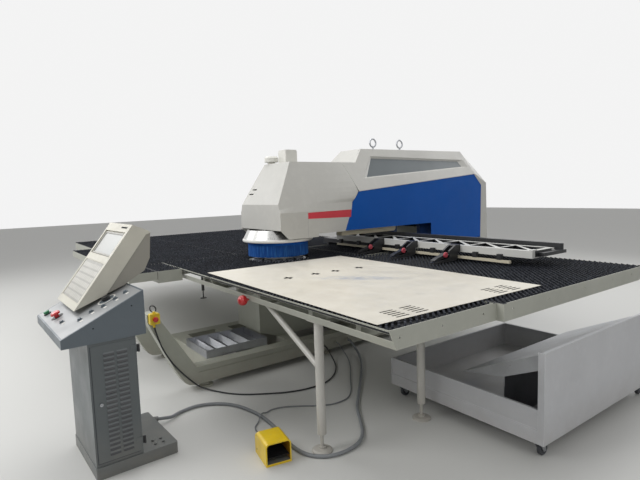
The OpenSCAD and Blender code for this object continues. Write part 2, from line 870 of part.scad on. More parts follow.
// Table frame of folded plate round a deck, with bars below the deck
module tray_frame(x0, x1, y0, y1, bars, front = 0, rear = 0, high = side_h) {
  z0 = frame_top - high;
  difference() {
    yz_prism(x0, x1, [[y0 + front, z0], [y1 - rear, z0], [y1, z0 + (rear > 0 ? 60 : 0)],
      [y1, frame_top], [y0, frame_top]]);
    // well for the brushes
    translate([x0 + plate_t, y0 + plate_t, deck_z])
      cube([x1 - x0 - 2 * plate_t, y1 - y0 - 2 * plate_t, side_h]);
    // hollow below the deck
    yz_prism(x0 + plate_t, x1 - plate_t, [[y0 + front + plate_t, z0 + plate_t],
      [y1 - rear - plate_t, z0 + plate_t],
      [y1 - plate_t, z0 + (rear > 0 ? 64 : plate_t)], [y1 - plate_t, deck_z - deck_t],
      [y0 + plate_t + front * deck_t / high, deck_z - deck_t]]);
    translate([x0 + flange_w, y0 + front + flange_w, z0 - 1])
      cube([x1 - x0 - 2 * flange_w, y1 - y0 - front - rear - 2 * flange_w, plate_t + 2]);
  }
  for (x = bars)
    yz_prism(x - bar_w / 2, x + bar_w / 2, [[y0 + front + plate_t, z0], [y1 - rear - plate_t, z0],
      [y1 - plate_t, z0 + (rear > 0 ? 64 : 0)], [y1 - plate_t, deck_z - deck_t],
      [y0 + front + plate_t, deck_z - deck_t]]);
}

// Screw heads set in a side plate
module side_holes(x, ys, z) {
  for (y = ys)
    translate([x - 6, y, z]) rotate([0, 90, 0]) cylinder(r = 6, h = 12, $fn = 24);
}

module centre_table() {
  color(table_grey) {
    difference() {
      tray_frame(-centre_half, centre_half, -front_y, slot_front,
        [-opening_r - 60, opening_r + 60], front_lean);
      translate([0, 0, frame_z - 1]) cylinder(r = opening_r, h = side_h + 2);
    }
    tray_frame(-slot_in, slot_in, slot_front, rear_y, [-260, 0, 260]);
  }
}

knob_at = [1195, -front_y + front_lean - 10, frame_z + 10];
leg_a = [right_reach - 718, 104 - front_y];
leg_b = [right_reach - 622, 48 - split_y];
brace_x = leg_a[0] - 632;

module front_right_table() {
  color(table_grey)
    difference() {
      union() {
        tray_frame(centre_half, right_reach, -front_y, -split_y,
          [centre_half + 400, brace_x, leg_a[0], right_reach - 280], front_lean);
        translate(knob_at) rotate([-90, 0, 0]) cylinder(r = 16, h = 24);
      }
      // boss of the lock knob
      translate(knob_at) rotate([90, 0, 0]) cylinder(r = 9 + shaft_gap, h = 60, center = true);
      side_holes(right_reach, [-front_y + 70, -front_y + 380, -split_y - 120],
        frame_z + side_h * 0.55);
    }
}

module rear_right_table() {
  color(table_grey)
    difference() {
      tray_frame(centre_half, right_reach + rear_step, -split_y, rear_y,
        [centre_half + 400, leg_b[0] - 528, leg_b[0], right_reach - 180], 0, 60);
      side_holes(right_reach + rear_step,
        [-split_y + 90, rear_y - 1403, rear_y - 943, rear_y - 523, rear_y - 203],
        frame_z + side_h * 0.6);
    }
}

front_h = 76;
mid_bar_x = -2100;

module left_table() {
  color(table_grey) {
    tray_frame(-left_reach, -centre_half, -left_front_y, -split_y,
      [400 - left_reach, leg_x[1], mid_bar_x, leg_x[0]]);
    tray_frame(-left_reach, -centre_half, -split_y, rear_y,
      [400 - left_reach, leg_x[1], mid_bar_x, leg_x[0], -300 - centre_half]);
    tray_frame(-centre_half, notch_x, -left_front_y, -front_y, [-300]);
    tray_frame(front_table_x, notch_x, -front_table_y, -left_front_y - 6,
      [mid_bar_x, leg_x[0], -700], 0, 0, front_h);
    // joining plates that carry the front table
    for (x = [front_table_x + 380, front_table_x + 980, -1000, -300])
      translate([x, -left_front_y - 60, frame_top - front_h - 8]) cube([80, 120, 9]);
  }
}

// Brush tops: rows of tufts on a backing strip
module brush_field(x0, x1, y0, y1) {
  clear = plate_t + 1;
  rows = floor((y1 - y0 - 2 * clear) / brush_pitch);
  row_w = brush_pitch * 0.62;
  yz_prism(x0 + clear, x1 - clear, concat(
    [[y1 - clear, deck_z], [y0 + clear, deck_z], [y0 + clear, deck_z + 5]],
    [for (i = [0:rows - 1], k = [0:3])
      let (y = y0 + clear + (i + 0.19) * brush_pitch)
      [[y, deck_z + 5], [y + row_w * 0.2, table_h], [y + row_w * 0.8, table_h],
        [y + row_w, deck_z + 5]][k]],
    [[y1 - clear, deck_z + 5]]));
}

module brush_tops() {
  color(brush_black) {
    difference() {
      brush_field(-centre_half, centre_half, -front_y, slot_front);
      translate([0, 0, deck_z - 1]) cylinder(r = opening_r, h = brush_h + 2, $fn = 96);
    }
    brush_field(-slot_in, slot_in, slot_front, rear_y);
    brush_field(centre_half, right_reach, -front_y, -split_y);
    brush_field(centre_half, right_reach + rear_step, -split_y, rear_y);
    brush_field(-left_reach, -centre_half, -left_front_y, -split_y);
    brush_field(-left_reach, -centre_half, -split_y, rear_y);
    brush_field(-centre_half, notch_x, -left_front_y, -front_y);
    brush_field(front_table_x, notch_x, -front_table_y, -left_front_y - 6);
  }
}

// Grey tube legs of the right table with screw feet
leg_r = 28.5;

module leg_foot() {
  rotate_extrude()
    polygon([[0, 0], [64, 0], [64, 8], [52, 16], [22, 20], [22, 32], [11, 32], [11, 120],
      [0, 120]]);
}

module tube_leg(at) {
  translate([at[0], at[1], 0]) {
    leg_foot();
    difference() {
      translate([0, 0, 112]) cylinder(r = leg_r, h = frame_z - 120);
      translate([0, 0, 140]) cylinder(r = leg_r - 3, h = frame_z - 160);
    }
    translate([-55, -50, frame_z - 8]) cube([110, 100, 8]);
  }
}

module right_legs() {
  color([0.66, 0.67, 0.65]) {
    tube_leg(leg_a);
    tube_leg(leg_b);
    difference() {
      rod([leg_a[0] - leg_r + 8, leg_a[1], 540], [brace_x - 40, leg_a[1], frame_z + 20], 20);
      translate([brace_x - 200, leg_a[1] - 60, frame_z]) cube([300, 120, 80]);
      translate([leg_a[0], leg_a[1], 400]) cylinder(r = leg_r - 1, h = 300);
    }
    translate([brace_x - 55, -front_y + front_lean + 10, frame_z - 6]) cube([110, 130, 6]);
  }
}

// Black square legs of the left table
leg_x = [-1440, 1140 - left_reach];
leg_y = [-1150, 320, 1560];

module left_legs() {
  color(dark)
    for (x = leg_x, y = leg_y)
      translate([x, y, 0]) {
        rotate_extrude()
          polygon([[0, 0], [50, 0], [50, 6], [40, 12], [14, 16], [9, 18], [9, 130],
            [0, 130]]);
        translate([-17, -17, 120]) cube([34, 34, frame_z - 120]);
      }
}

// Red ball knob that locks the front edge of the table
knob_r = 37;

module lock_knob() {
  color(signal_red)
    translate(knob_at)
      rotate([90, 0, 0]) {
        translate([0, 0, -18]) cylinder(r = 9, h = 34);
        translate([0, 0, 10 + knob_r * 0.96])
          rotate_extrude()
            intersection() {
              circle(knob_r);
              translate([0, -knob_r * 0.96]) square([knob_r, 2 * knob_r]);
            }
      }
}

// Sheet of steel that lies on the brushes, with its punched cut-outs
group_at = [for (y = [215 - sheet_w / 2, 360 - sheet_w / 2, sheet_w / 2 - 355, sheet_w / 2 - 215])
  [sheet_l / 2 - 106, y]];
cross_at = [[-362, -345], [-364, -88], [-366, 112], [-358, 358]];

module work_sheet() {
  color([0.86, 0.84, 0.79])
    translate([sheet_c[0], sheet_c[1], table_h])
      rotate([0, 0, sheet_turn])
        linear_extrude(height = sheet_t)
          difference() {
            square([sheet_l, sheet_w], center = true);
            for (g = group_at, i = [0:4])
              translate([g[0] + (i - 2) * 32, g[1]])
                square([14, 96], center = true);
            for (c = cross_at)
              translate(c) {
                square([92, 26], center = true);
                square([30, 78], center = true);
              }
          }
}

// Scrap trays that stand on the cross members under the table
module scrap_tray() {
  color(steel)
    translate([-60, -1010, beam_top]) {
      difference() {
        cube([470, 600, 70]);
        translate([4, 4, 4]) cube([462, 592, 80]);
      }
      for (i = [0:3])
        translate([4, 60 + i * 118, 4])
          yz_prism(0, 462, [[0, 0], [70, 0], [35, 48]]);
    }
}

// Rails on which the saddle runs, with their beams bolted to the C-frame
module y_rails() {
  color([0.5, 0.51, 0.53])
    both_sides() {
      translate([rail_x - 30, rail_front, rail_z - rail_beam_h])
        cube([60, rail_rear - rail_front, rail_beam_h]);
      difference() {
        translate([rail_x - rail_w / 2, rail_front, rail_z])
          cube([rail_w, rail_rear - rail_front, rail_h]);
        for (s = [-1, 1])
          translate([rail_x + s * rail_w / 2, rail_front - 1, rail_z + rail_h / 2])
            rotate([-90, 0, 0]) cylinder(r = 4, h = rail_rear - rail_front + 2);
      }
      for (y = [rail_front + 20, rail_rear - 120])
        translate([frame_half, y, rail_z - rail_beam_h])
          cube([rail_x - 30 - frame_half, 100, rail_beam_h - 6]);
    }
}

// Saddle: a bridge over the centre table with a rail block on each foot
saddle_y = carriage_y + 60;
saddle_z = carriage_z - saddle_t - run_gap;
block_z = rail_z + run_gap;

module y_saddle() {
  color(dark)
    difference() {
      union() {
        translate([-saddle_x, saddle_y, saddle_z])
          cube([2 * saddle_x, saddle_w, saddle_t]);
        both_sides()
          translate([rail_x - foot_w / 2, saddle_y, block_z])
            cube([foot_w, saddle_w, saddle_z - block_z]);
      }
      both_sides()
        translate([rail_x - rail_w / 2 - run_gap, saddle_y - 1, block_z - 1])
          cube([rail_w + 2 * run_gap, saddle_w + 2, rail_h + 1 + run_gap]);
      // lightening pockets in the bridge
      for (x = [-420, -140, 140, 420])
        translate([x - 90, saddle_y + 60, saddle_z + 12])
          cube([180, saddle_w - 120, saddle_t]);
    }
}

// Sheet carriage: a long white plate with pockets between diagonal ribs
rib_n = 8;
rib_w = 26;

module x_carriage() {
  cell = (carriage_len - 60) / rib_n;
  wall = 44;
  color([0.84, 0.84, 0.82])
    difference() {
      union() {
        translate([carriage_left, carriage_y, carriage_z])
          cube([carriage_len, carriage_w, carriage_t]);
        // end blocks a little taller than the plate
        for (x = [carriage_left, carriage_x - 30])
          translate([x, carriage_y, carriage_z])
            cube([30, 70, carriage_t + 8]);
      }
      for (i = [0:rib_n - 1])
        translate([carriage_left + 30 + i * cell, carriage_y, carriage_z + 10])
          linear_extrude(height = carriage_t)
            polygon([[rib_w / 2, wall], [cell - rib_w, wall],
              [rib_w / 2, carriage_w - wall]]);
      for (i = [0:rib_n - 1])
        translate([carriage_left + 30 + i * cell, carriage_y, carriage_z + 10])
          linear_extrude(height = carriage_t)
            polygon([[cell - rib_w / 2, wall + 40], [cell - rib_w / 2, carriage_w - wall],
              [rib_w * 1.6, carriage_w - wall]]);
    }
}

// Rear guide bar, its brackets, the black end plate and the cream clamp bar
rear_bar_y = carriage_y + carriage_w + 50;
rear_bar_z = carriage_z + 36;
rear_bar_h = 56;
clamp_bar_z = table_h + 22;
bar_brackets = [80, 400, 1010, 1480, 1960, 2200];

module carriage_bars() {
  color(dark) {
    translate([carriage_left, rear_bar_y, rear_bar_z])
      cube([carriage_len + 12, 50, rear_bar_h]);
    translate([carriage_x + 12, rear_bar_y + 25, rear_bar_z])
      cylinder(r = 25, h = rear_bar_h);
    for (i = [0:4])
      translate([carriage_left + 60 + i * (carriage_len - 240) / 4,
          carriage_y + carriage_w, carriage_z + 20])
        cube([100, 50, 40]);
    translate([carriage_x, carriage_y + 90, carriage_z + 12])
      cube([46, carriage_w + 50 - 90 + 60, 28]);
  }
  color([0.85, 0.82, 0.73]) {
    translate([carriage_left + 40, carriage_y - 32, clamp_bar_z])
      cube([bar_right - carriage_left - 40, 28, 22]);
    for (x = bar_brackets)
      translate([carriage_left + x, carriage_y - 32, clamp_bar_z + 22])
        cube([40, 32, carriage_z - clamp_bar_z - 22 + 16]);
  }
}

// Clamp bodies: a black block on the front face and a forked nose with a lower jaw
clamp_front = carriage_y - clamp_reach;
lower_jaw_z = table_h + sheet_t + 1;

module clamp_body(x) {
  translate([x - clamp_w / 2, 0, 0]) {
    color(dark)
      difference() {
        yz_prism(0, clamp_w, [[carriage_y, carriage_z + 2],
          [carriage_y, carriage_z + carriage_t + 8],
          [carriage_y - 60, carriage_z + carriage_t + 8],
          [carriage_y - 150, carriage_z + 20], [carriage_y - 150, jaw_pivot_z - 24],
          [clamp_front + 60, lower_jaw_z + 12], [clamp_front, lower_jaw_z + 5],
          [clamp_front, lower_jaw_z], [carriage_y - 90, lower_jaw_z],
          [carriage_y - 36, lower_jaw_z + 16], [carriage_y - 36, carriage_z + 2]]);
        // slot for the moving jaw
        translate([18, clamp_front - 1, lower_jaw_z + 14])
          cube([clamp_w - 36, clamp_reach - 60, 120]);
        // pivot pin hole
        translate([-1, jaw_pivot_y, jaw_pivot_z])
          rotate([0, 90, 0]) cylinder(r = 7 + shaft_gap, h = clamp_w + 2);
      }
    // red release lever on the left cheek
    color([0.66, 0.22, 0.25])
      translate([-16, jaw_pivot_y - 26, jaw_pivot_z - 16])
        rotate([0, 90, 0]) cylinder(r = 26, h = 16);
  }
}

module clamp_bodies() {
  for (x = clamp_xs) clamp_body(x);
}

// Moving clamp jaw with its pivot pin
module clamp_jaw(x) {
  w = clamp_w - 36 - 2 * run_gap;
  color([0.35, 0.35, 0.37])
    translate([x - w / 2, 0, 0]) {
      yz_prism(0, w, [[jaw_pivot_y + 24, jaw_pivot_z - 12], [jaw_pivot_y + 24, jaw_pivot_z + 14],
        [jaw_pivot_y - 30, jaw_pivot_z + 18], [clamp_front + 40, lower_jaw_z + 40],
        [clamp_front + 2, lower_jaw_z + 24], [clamp_front + 2, lower_jaw_z + 16],
        [clamp_front + 50, lower_jaw_z + 20], [jaw_pivot_y - 30, jaw_pivot_z - 16]]);
      translate([-18 - run_gap, jaw_pivot_y, jaw_pivot_z])
        rotate([0, 90, 0]) cylinder(r = 7, h = clamp_w);
    }
}

module clamp_jaw_1() { clamp_jaw(clamp_xs[0]); }
module clamp_jaw_2() { clamp_jaw(clamp_xs[1]); }
module clamp_jaw_3() { clamp_jaw(clamp_xs[2]); }

// Console pieces are drawn with the operator at -Y and turned into place
module on_console() {
  translate(console_at) rotate([0, 0, console_turn]) children();
}

cab_left = -cab_x - cab_d;
door_w = cab_w - 30;
door_h = cab_h - base_t - 40;
hinge_y = cab_y + cab_w - 10;
louvre_n = 22;

module console_cabinet() {
  color(dark) gland(conduit_route, conduit_d / 2 + 6, 38);
  color(console_grey)
    on_console() {
      difference() {
        translate([-base_w, 0, 0]) round_plate([base_w, base_l], 12, base_t);
        translate([8 - base_w, 8, -1]) cube([base_w - 16, base_l - 16, base_t - 5]);
      }
      for (x = [-60, -110], y = [base_l - 70, base_l - 120])
        translate([x, y, base_t]) cylinder(r = 9, h = 8, $fn = 6);
      difference() {
        translate([cab_left, cab_y, base_t]) cube([cab_d, cab_w, cab_h - base_t]);
        translate([cab_left + cab_t, cab_y + cab_t, base_t + cab_t])
          cube([cab_d + 10, cab_w - 2 * cab_t, cab_h - base_t - 2 * cab_t]);
      }
      // frame round the door
      difference() {
        translate([-cab_x - 24, cab_y + cab_t, base_t + cab_t])
          cube([24 - run_gap, cab_w - 2 * cab_t, cab_h - base_t - 2 * cab_t]);
        translate([-cab_x - 30, cab_y + 26, base_t + 28])
          cube([40, cab_w - 52, cab_h - base_t - 56]);
      }
      // hinge knuckles with their pins
      for (z = [base_t + 60, cab_h - 100])
        translate([-cab_x + 6 + run_gap, hinge_y + 22, z]) {
          cylinder(r = 6, h = 22);
          cylinder(r = 3, h = 46);
          translate([-16, -12, 0]) cube([12, 12, 22]);
        }
    }
}

// Louvred door on two lift-off hinges
module console_door() {
  color(console_grey)
    on_console()
      difference() {
        union() {
          translate([-cab_x, cab_y + 14, base_t + 20]) cube([cab_t, door_w, door_h]);
          for (k = [0, 1], i = [0:louvre_n - 1])
            translate([-cab_x + cab_t, cab_y + 78 + k * 74, base_t + 60 + i * 28])
              xz_louvre(58);
          // lock barrel
          translate([-cab_x + cab_t, cab_y + 50, base_t + door_h / 2 + 20])
            rotate([0, 90, 0]) cylinder(r = 11, h = 6);
          for (z = [base_t + 60, cab_h - 100])
            translate([-cab_x + 6 + run_gap, hinge_y + 22, z + 22 + run_gap]) {
              cylinder(r = 6, h = 22);
              translate([-6.5, -46, 0]) cube([4, 46, 22]);
            }
        }
        for (k = [0, 1], i = [0:louvre_n - 1])
          translate([-cab_x - 1, cab_y + 80 + k * 74, base_t + 56 + i * 28])
            cube([cab_t + 3, 54, 6]);
        for (z = [base_t + 60, cab_h - 100])
          translate([-cab_x + 6 + run_gap, hinge_y + 22, z + 20])
            cylinder(r = 3 + shaft_gap, h = 30);
      }
}

// One louvre: a small hood over its slot
module xz_louvre(w) {
  xz_prism(0, w, [[0, 12], [0, 0], [7, -8], [8, -6]]);
}

// Desk box with a sloping top
desk_outline = [[desk_y, desk_z], [desk_y + desk_l, desk_z],
  [desk_y + desk_l, desk_z + desk_back_h], [desk_y, desk_z + desk_front_h]];

function desk_top(y) = desk_z + desk_front_h + (y - desk_y) * tan(desk_slope);

// Holds a child on the sloping desk, its Z along the desk's normal
module on_desk(x, y) {
  translate([-desk_x - x, y, desk_top(y)]) rotate([desk_slope, 0, 0]) children();
}

dial_at = [214, 176];
stop_button_at = [466, -57];
start_at = [653, -81];
switch_at = [[301, -61], [148, 6], [166, 74], [133, 135], [137, 205], [144, 267]];

module console_desk() {
  color(console_grey)
    on_console()
      difference() {
        yz_prism(-desk_x - desk_w, -desk_x, desk_outline);
        yz_prism(-desk_x - desk_w + 3, -desk_x - 3,
          [[desk_y + 3, desk_z + 3], [desk_y + desk_l - 3, desk_z + 3],
            [desk_y + desk_l - 3, desk_z + desk_back_h - 5],
            [desk_y + 3, desk_z + desk_front_h - 5]]);
        on_desk(dial_at[0], dial_at[1]) translate([0, 0, -10]) cylinder(r = 8 + shaft_gap, h = 12);
        on_desk(stop_button_at[0], stop_button_at[1])
          translate([0, 0, -10]) cylinder(r = 14 + shaft_gap, h = 12);
        on_desk(start_at[0], start_at[1])
          translate([0, 0, -10]) cylinder(r = 14 + shaft_gap, h = 12);
      }
  // ring plate, small switches and lamps beside the dial
  color(dark)
    on_console() {
      on_desk(dial_at[0], dial_at[1])
        difference() {
          cylinder(r = 56, h = 3);
          translate([0, 0, -1]) cylinder(r = 8 + shaft_gap, h = 6);
        }
      for (p = switch_at)
        on_desk(p[0], p[1]) {
          cylinder(r = 16, h = 4);
          translate([0, 0, 4]) cylinder(r = 11, h = 9);
        }
    }
  // bracket with the tilt pin of the control housing
  color(steel)
    on_console() {
      translate([-housing_x - housing_w / 2, tilt_at[0], tilt_at[1]])
        rotate([0, 90, 0]) cylinder(r = 8, h = 84, center = true);
      yz_prism(-housing_x - housing_w / 2 - 20, -housing_x - housing_w / 2 + 20,
        [[tilt_at[0] - 16, desk_top(tilt_at[0] - 16)], [tilt_at[0] + 16,
          desk_top(tilt_at[0] + 16)], [tilt_at[0] + 13, tilt_at[1] + 14],
          [tilt_at[0] - 13, tilt_at[1] + 14]]);
    }
}

module console_stop() {
  color(signal_red)
    on_console()
      on_desk(stop_button_at[0], stop_button_at[1]) {
        translate([0, 0, -8]) cylinder(r = 14, h = 24);
        translate([0, 0, 16])
          rotate_extrude()
            polygon([[0, 0], [12, 0], [28, 4], [28, 14], [22, 20], [0, 22]]);
      }
}

module start_button() {
  color([0.1, 0.45, 0.25])
    on_console()
      on_desk(start_at[0], start_at[1]) {
        translate([0, 0, -8]) cylinder(r = 14, h = 20);
        translate([0, 0, 12])
          rotate_extrude() polygon([[0, 0], [18, 0], [18, 8], [14, 12], [0, 12]]);
      }
}

module feed_dial() {
  color(dark)
    on_console()
      on_desk(dial_at[0], dial_at[1]) {
        translate([0, 0, -8]) cylinder(r = 8, h = 11 + run_gap);
        translate([0, 0, 3 + run_gap]) {
          difference() {
            cylinder(r = 24, h = 22);
            for (a = [0:30:359])
              rotate([0, 0, a]) translate([26, 0, 4]) cylinder(r = 4, h = 30, $fn = 16);
          }
          translate([-2, 4, 22]) cube([4, 18, 2]);
        }
      }
}

// Tilting control housing: a front shell, a narrower rear shell and a pocket
// underneath for the tilt bracket
tilt_at = [235, desk_z + 253];
front_shell = [for (p = [[-1, 145], [186, 217], [451, 567], [484, 576], [467, 591], [371, 634]])
  p + [0, desk_z]];
rear_shell = [for (p = [[19, 156], [294, 258], [429, 336], [469, 415], [482, 574], [372, 630]])
  p + [0, desk_z]];

module control_housing() {
  x0 = -housing_x - housing_w;
  slant = front_shell[5] - front_shell[0];
  rise = atan2(slant[1], slant[0]);
  mid = x0 + housing_w / 2;
  color(beige)
    on_console()
      difference() {
        union() {
          yz_prism(x0, x0 + housing_w, front_shell);
          yz_prism(x0 + 10, x0 + housing_w - 10, rear_shell);
        }
        // keypad recess and deeper screen recess in the sloped front
        translate([x0 + 24, front_shell[0][0], front_shell[0][1]])
          rotate([rise, 0, 0]) {
            translate([0, 45, -4]) cube([housing_w - 60, 280, 8]);
            translate([0, 372, -12]) cube([housing_w - 60, norm(slant) - 432, 24]);
          }
        // pocket and pin holes of the tilt bracket
        translate([mid - 22, tilt_at[0] - 42, tilt_at[1] - 60]) cube([44, 84, 84]);
        translate([mid, tilt_at[0], tilt_at[1]])
          rotate([0, 90, 0]) cylinder(r = 8 + shaft_gap, h = 90, center = true);
      }
}

// Pedal: a yellow hood over a hinged treadle
module on_pedal() {
  translate(pedal_at) rotate([0, 0, pedal_turn]) children();
}

pedal_l = 210;
pedal_w = 160;
pedal_h = 140;
treadle_x = -70;
treadle_z = 34;

// A bar along X with two rounded upper edges
module arch(x0, x1, w, z0, z1, r) {
  translate([x0, 0, 0])
    rotate([90, 0, 90])
      linear_extrude(height = x1 - x0)
        union() {
          translate([-w / 2, z0]) square([w, z1 - z0 - r]);
          translate([r - w / 2, z0]) square([w - 2 * r, z1 - z0]);
          for (s = [-1, 1]) translate([s * (w / 2 - r), z1 - r]) circle(r);
        }
}

module pedal_guard() {
  half = pedal_l / 2;
  color(dark) gland(pedal_route, pedal_d / 2 + 4, 24);
  color(signal_yellow)
    on_pedal()
      difference() {
        intersection() {
          arch(-half, half, pedal_w, 0, pedal_h, 24);
          xz_prism(-pedal_w, pedal_w, [[-half, 0], [half, 0], [half, pedal_h],
            [30 - half, pedal_h], [-half, pedal_h - 36]]);
        }
        intersection() {
          arch(-half, half + 1, pedal_w - 16, 14, pedal_h - 8, 18);
          xz_prism(-pedal_w, pedal_w, [[14 - half, 14], [half + 1, 14],
            [half + 1, pedal_h - 8], [36 - half, pedal_h - 8], [14 - half, pedal_h - 36]]);
        }
        translate([treadle_x, -pedal_w, treadle_z])
          rotate([-90, 0, 0]) cylinder(r = 6 + shaft_gap, h = 2 * pedal_w);
      }
}

module foot_pedal() {
  w = pedal_w - 16 - 4;
  color(dark)
    on_pedal()
      difference() {
        union() {
          xz_prism(-w / 2, w / 2, [[treadle_x - 10, treadle_z - 6],
            [treadle_x + 10, treadle_z - 10], [pedal_l / 2 - 14, treadle_z + 6],
            [pedal_l / 2 - 10, treadle_z + 14], [treadle_x, treadle_z + 12]]);
          translate([treadle_x, -pedal_w / 2, treadle_z])
            rotate([-90, 0, 0]) cylinder(r = 6, h = pedal_w);
        }
        for (i = [0:7])
          translate([-40 + i * 16, -w, treadle_z + 11 + i * 0.4]) cube([6, 2 * w, 8]);
      }
}

// Yellow stop box on the right front arm
module estop_box() {
  color(signal_yellow)
    translate(stop_at) {
      difference() {
        translate([0, -38, -42]) rotate([90, 0, 90]) round_plate([76, 84], 8, 46);
        translate([30, 0, 0]) rotate([0, 90, 0]) cylinder(r = 11 + shaft_gap, h = 20);
      }
    }
  color(dark)
    translate(stop_at) {
      translate([23, 0, 42]) cylinder(r = 12, h = 14);
    }
  color(dark) gland(stop_route, stop_d / 2 + 4, 30);
}

module estop_button() {
  color(signal_red)
    translate([stop_at[0] + 41, stop_at[1], stop_at[2]])
      rotate([0, 90, 0])
        rotate_extrude()
          polygon([[0, 0], [11, 0], [11, 12], [20, 14], [20, 24], [15, 28], [0, 29]]);
}

// Wheeled parts trolley: a folded bin with one tall side, and a chute inside
module on_trolley() {
  translate(trolley_at) children();
}

hem_w = 18;

module trolley_bin() {
  color([0.64, 0.65, 0.66])
    on_trolley() {
      translate([0, 0, bin_z]) cube([bin_x, bin_y, bin_t]);
      // tall outer side and back
      translate([bin_x - bin_t, 0, bin_z]) cube([bin_t, bin_y, bin_high - bin_z]);
      translate([0, bin_y - bin_t, bin_z]) cube([bin_x, bin_t, bin_low - bin_z]);
      translate([0, 0, bin_z]) cube([bin_t, bin_y, bin_low - bin_z]);
      // front with a folded ledge part way up
      yz_prism(0, bin_x, [[0, bin_z], [bin_t, bin_z], [bin_t, bin_z + 76], [bin_t + 8, bin_z + 84],
        [bin_t + 8, bin_low], [8, bin_low], [8, bin_z + 85], [0, bin_z + 77]]);
      // hems folded in along the low walls
      translate([0, 8, bin_low]) cube([bin_x, hem_w, bin_t]);
      translate([0, 8, bin_low]) cube([hem_w, bin_y - 8, bin_t]);
      translate([0, bin_y - hem_w, bin_low]) cube([bin_x, hem_w, bin_t]);
      translate([bin_x - hem_w, 0, bin_high]) cube([hem_w, bin_y, bin_t]);
      // end posts of the tall side
      translate([bin_x - 40, 0, bin_z]) cube([40, bin_t, bin_high - bin_z]);
      translate([bin_x - 40, bin_y - bin_t, bin_z]) cube([40, bin_t, bin_high - bin_z]);
      // fixed wheel forks at the far end
      for (x = [caster_in, bin_x - caster_in])
        translate([x, bin_y - caster_in, 0]) fork(0, 12);
    }
  color(steel)
    on_trolley()
      for (x = [caster_in, bin_x - caster_in], y = [caster_in, bin_y - caster_in])
        translate([x - 40, y - 40, bin_z - 4]) cube([80, 80, 4]);
}

// Fork with its axle round a wheel that stands trail behind the swivel
module fork(trail, head) {
  translate([-wheel_w / 2 - 8, -24, 2 * wheel_r + 4]) cube([wheel_w + 16, 48, head]);
  for (s = [-1, 1])
    translate([s * (wheel_w / 2 + 6) - 2, 0, 0])
      yz_prism(0, 4, [[-24, 2 * wheel_r + 6], [24, 2 * wheel_r + 6],
        [trail + 12, wheel_r - 12], [trail - 12, wheel_r - 12]]);
  translate([-wheel_w / 2 - 8, trail, wheel_r])
    rotate([0, 90, 0]) cylinder(r = 6, h = wheel_w + 16);
}

module swivel_fork(x) {
  color(steel)
    on_trolley()
      translate([x, caster_in, 0]) {
        fork(caster_trail, 9);
        translate([0, 0, 2 * wheel_r + 10]) cylinder(r = 20, h = 5.7);
      }
}

module swivel_fork_1() { swivel_fork(caster_in); }
module swivel_fork_2() { swivel_fork(bin_x - caster_in); }

module trolley_wheel(x, y) {
  color(dark)
    on_trolley()
      translate([x - wheel_w / 2, y, wheel_r])
        rotate([0, 90, 0])
          difference() {
            rotate_extrude($fn = 64)
              polygon([[0, 0], [wheel_r - 3, 0], [wheel_r, 4],
                [wheel_r, wheel_w - 4], [wheel_r - 3, wheel_w], [0, wheel_w]]);
            translate([0, 0, -1]) cylinder(r = 6 + shaft_gap, h = wheel_w + 2);
          }
}

module trolley_wheel_1() { trolley_wheel(caster_in, caster_in + caster_trail); }
module trolley_wheel_2() { trolley_wheel(bin_x - caster_in, caster_in + caster_trail); }
module trolley_wheel_3() { trolley_wheel(caster_in, bin_y - caster_in); }
module trolley_wheel_4() { trolley_wheel(bin_x - caster_in, bin_y - caster_in); }

// Chute plate that leans from the tall side down into the bin
chute_y = 80;
chute_foot = [612, bin_low + 54];
chute_top = [1174, bin_high - 35];
chute_t = 4;

module trolley_chute() {
  color([0.78, 0.78, 0.76])
    on_trolley() {
      xz_prism(chute_y, bin_y - 40, [chute_foot, chute_top, [bin_x - bin_t, chute_top[1]],
        [bin_x - bin_t, chute_top[1] - chute_t], chute_top - [0, chute_t],
        chute_foot - [0, chute_t]]);
      // folded flange along the front edge
      xz_prism(chute_y, chute_y + 3, [chute_foot, chute_top, chute_top - [0, 95],
        [chute_foot[0] + 305, chute_foot[1] + 50]]);
      // support plate on the floor of the bin
      xz_prism(chute_y + 20, bin_y - 60, [[chute_foot[0] + 300, bin_z + bin_t],
        [chute_foot[0] + 303, bin_z + bin_t],
        [chute_foot[0] + 303, chute_foot[1] + 138], [chute_foot[0] + 300, chute_foot[1] + 137]]);
    }
}

// Cables that lie on the floor
module console_conduit() {
  color([0.45, 0.46, 0.47]) cable(conduit_route, conduit_d, 10);
}

module pedal_cable() {
  color([0.35, 0.36, 0.37]) cable(pedal_route, pedal_d, 8);
}

module stop_cable() {
  color(dark) cable(stop_route, stop_d, 8);
}

c_frame();
base_frame();
head_cover();
head_rim();
rear_cover();
side_panels();
frame_webs();
lifting_eyes();
junction_box();
breather_cap();
brush_skirt();
hydraulic_cylinder();
ram();
upper_turret();
punches();
lower_turret();
dies();
turret_motors();
hydraulic_unit();
hose_guard();
centre_table();
front_right_table();
rear_right_table();
left_table();
brush_tops();
right_legs();
left_legs();
lock_knob();
work_sheet();
scrap_tray();
y_rails();
y_saddle();
x_carriage();
carriage_bars();
clamp_bodies();
clamp_jaw_1();
clamp_jaw_2();
clamp_jaw_3();
console_cabinet();
console_door();
console_desk();
control_housing();
console_stop();
start_button();
feed_dial();
pedal_guard();
foot_pedal();
estop_box();
estop_button();
trolley_bin();
trolley_chute();
swivel_fork_1();
swivel_fork_2();
trolley_wheel_1();
trolley_wheel_2();
trolley_wheel_3();
trolley_wheel_4();
console_conduit();
pedal_cable();
stop_cable();
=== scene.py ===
import math
import random

import bpy
from mathutils import Matrix, Vector


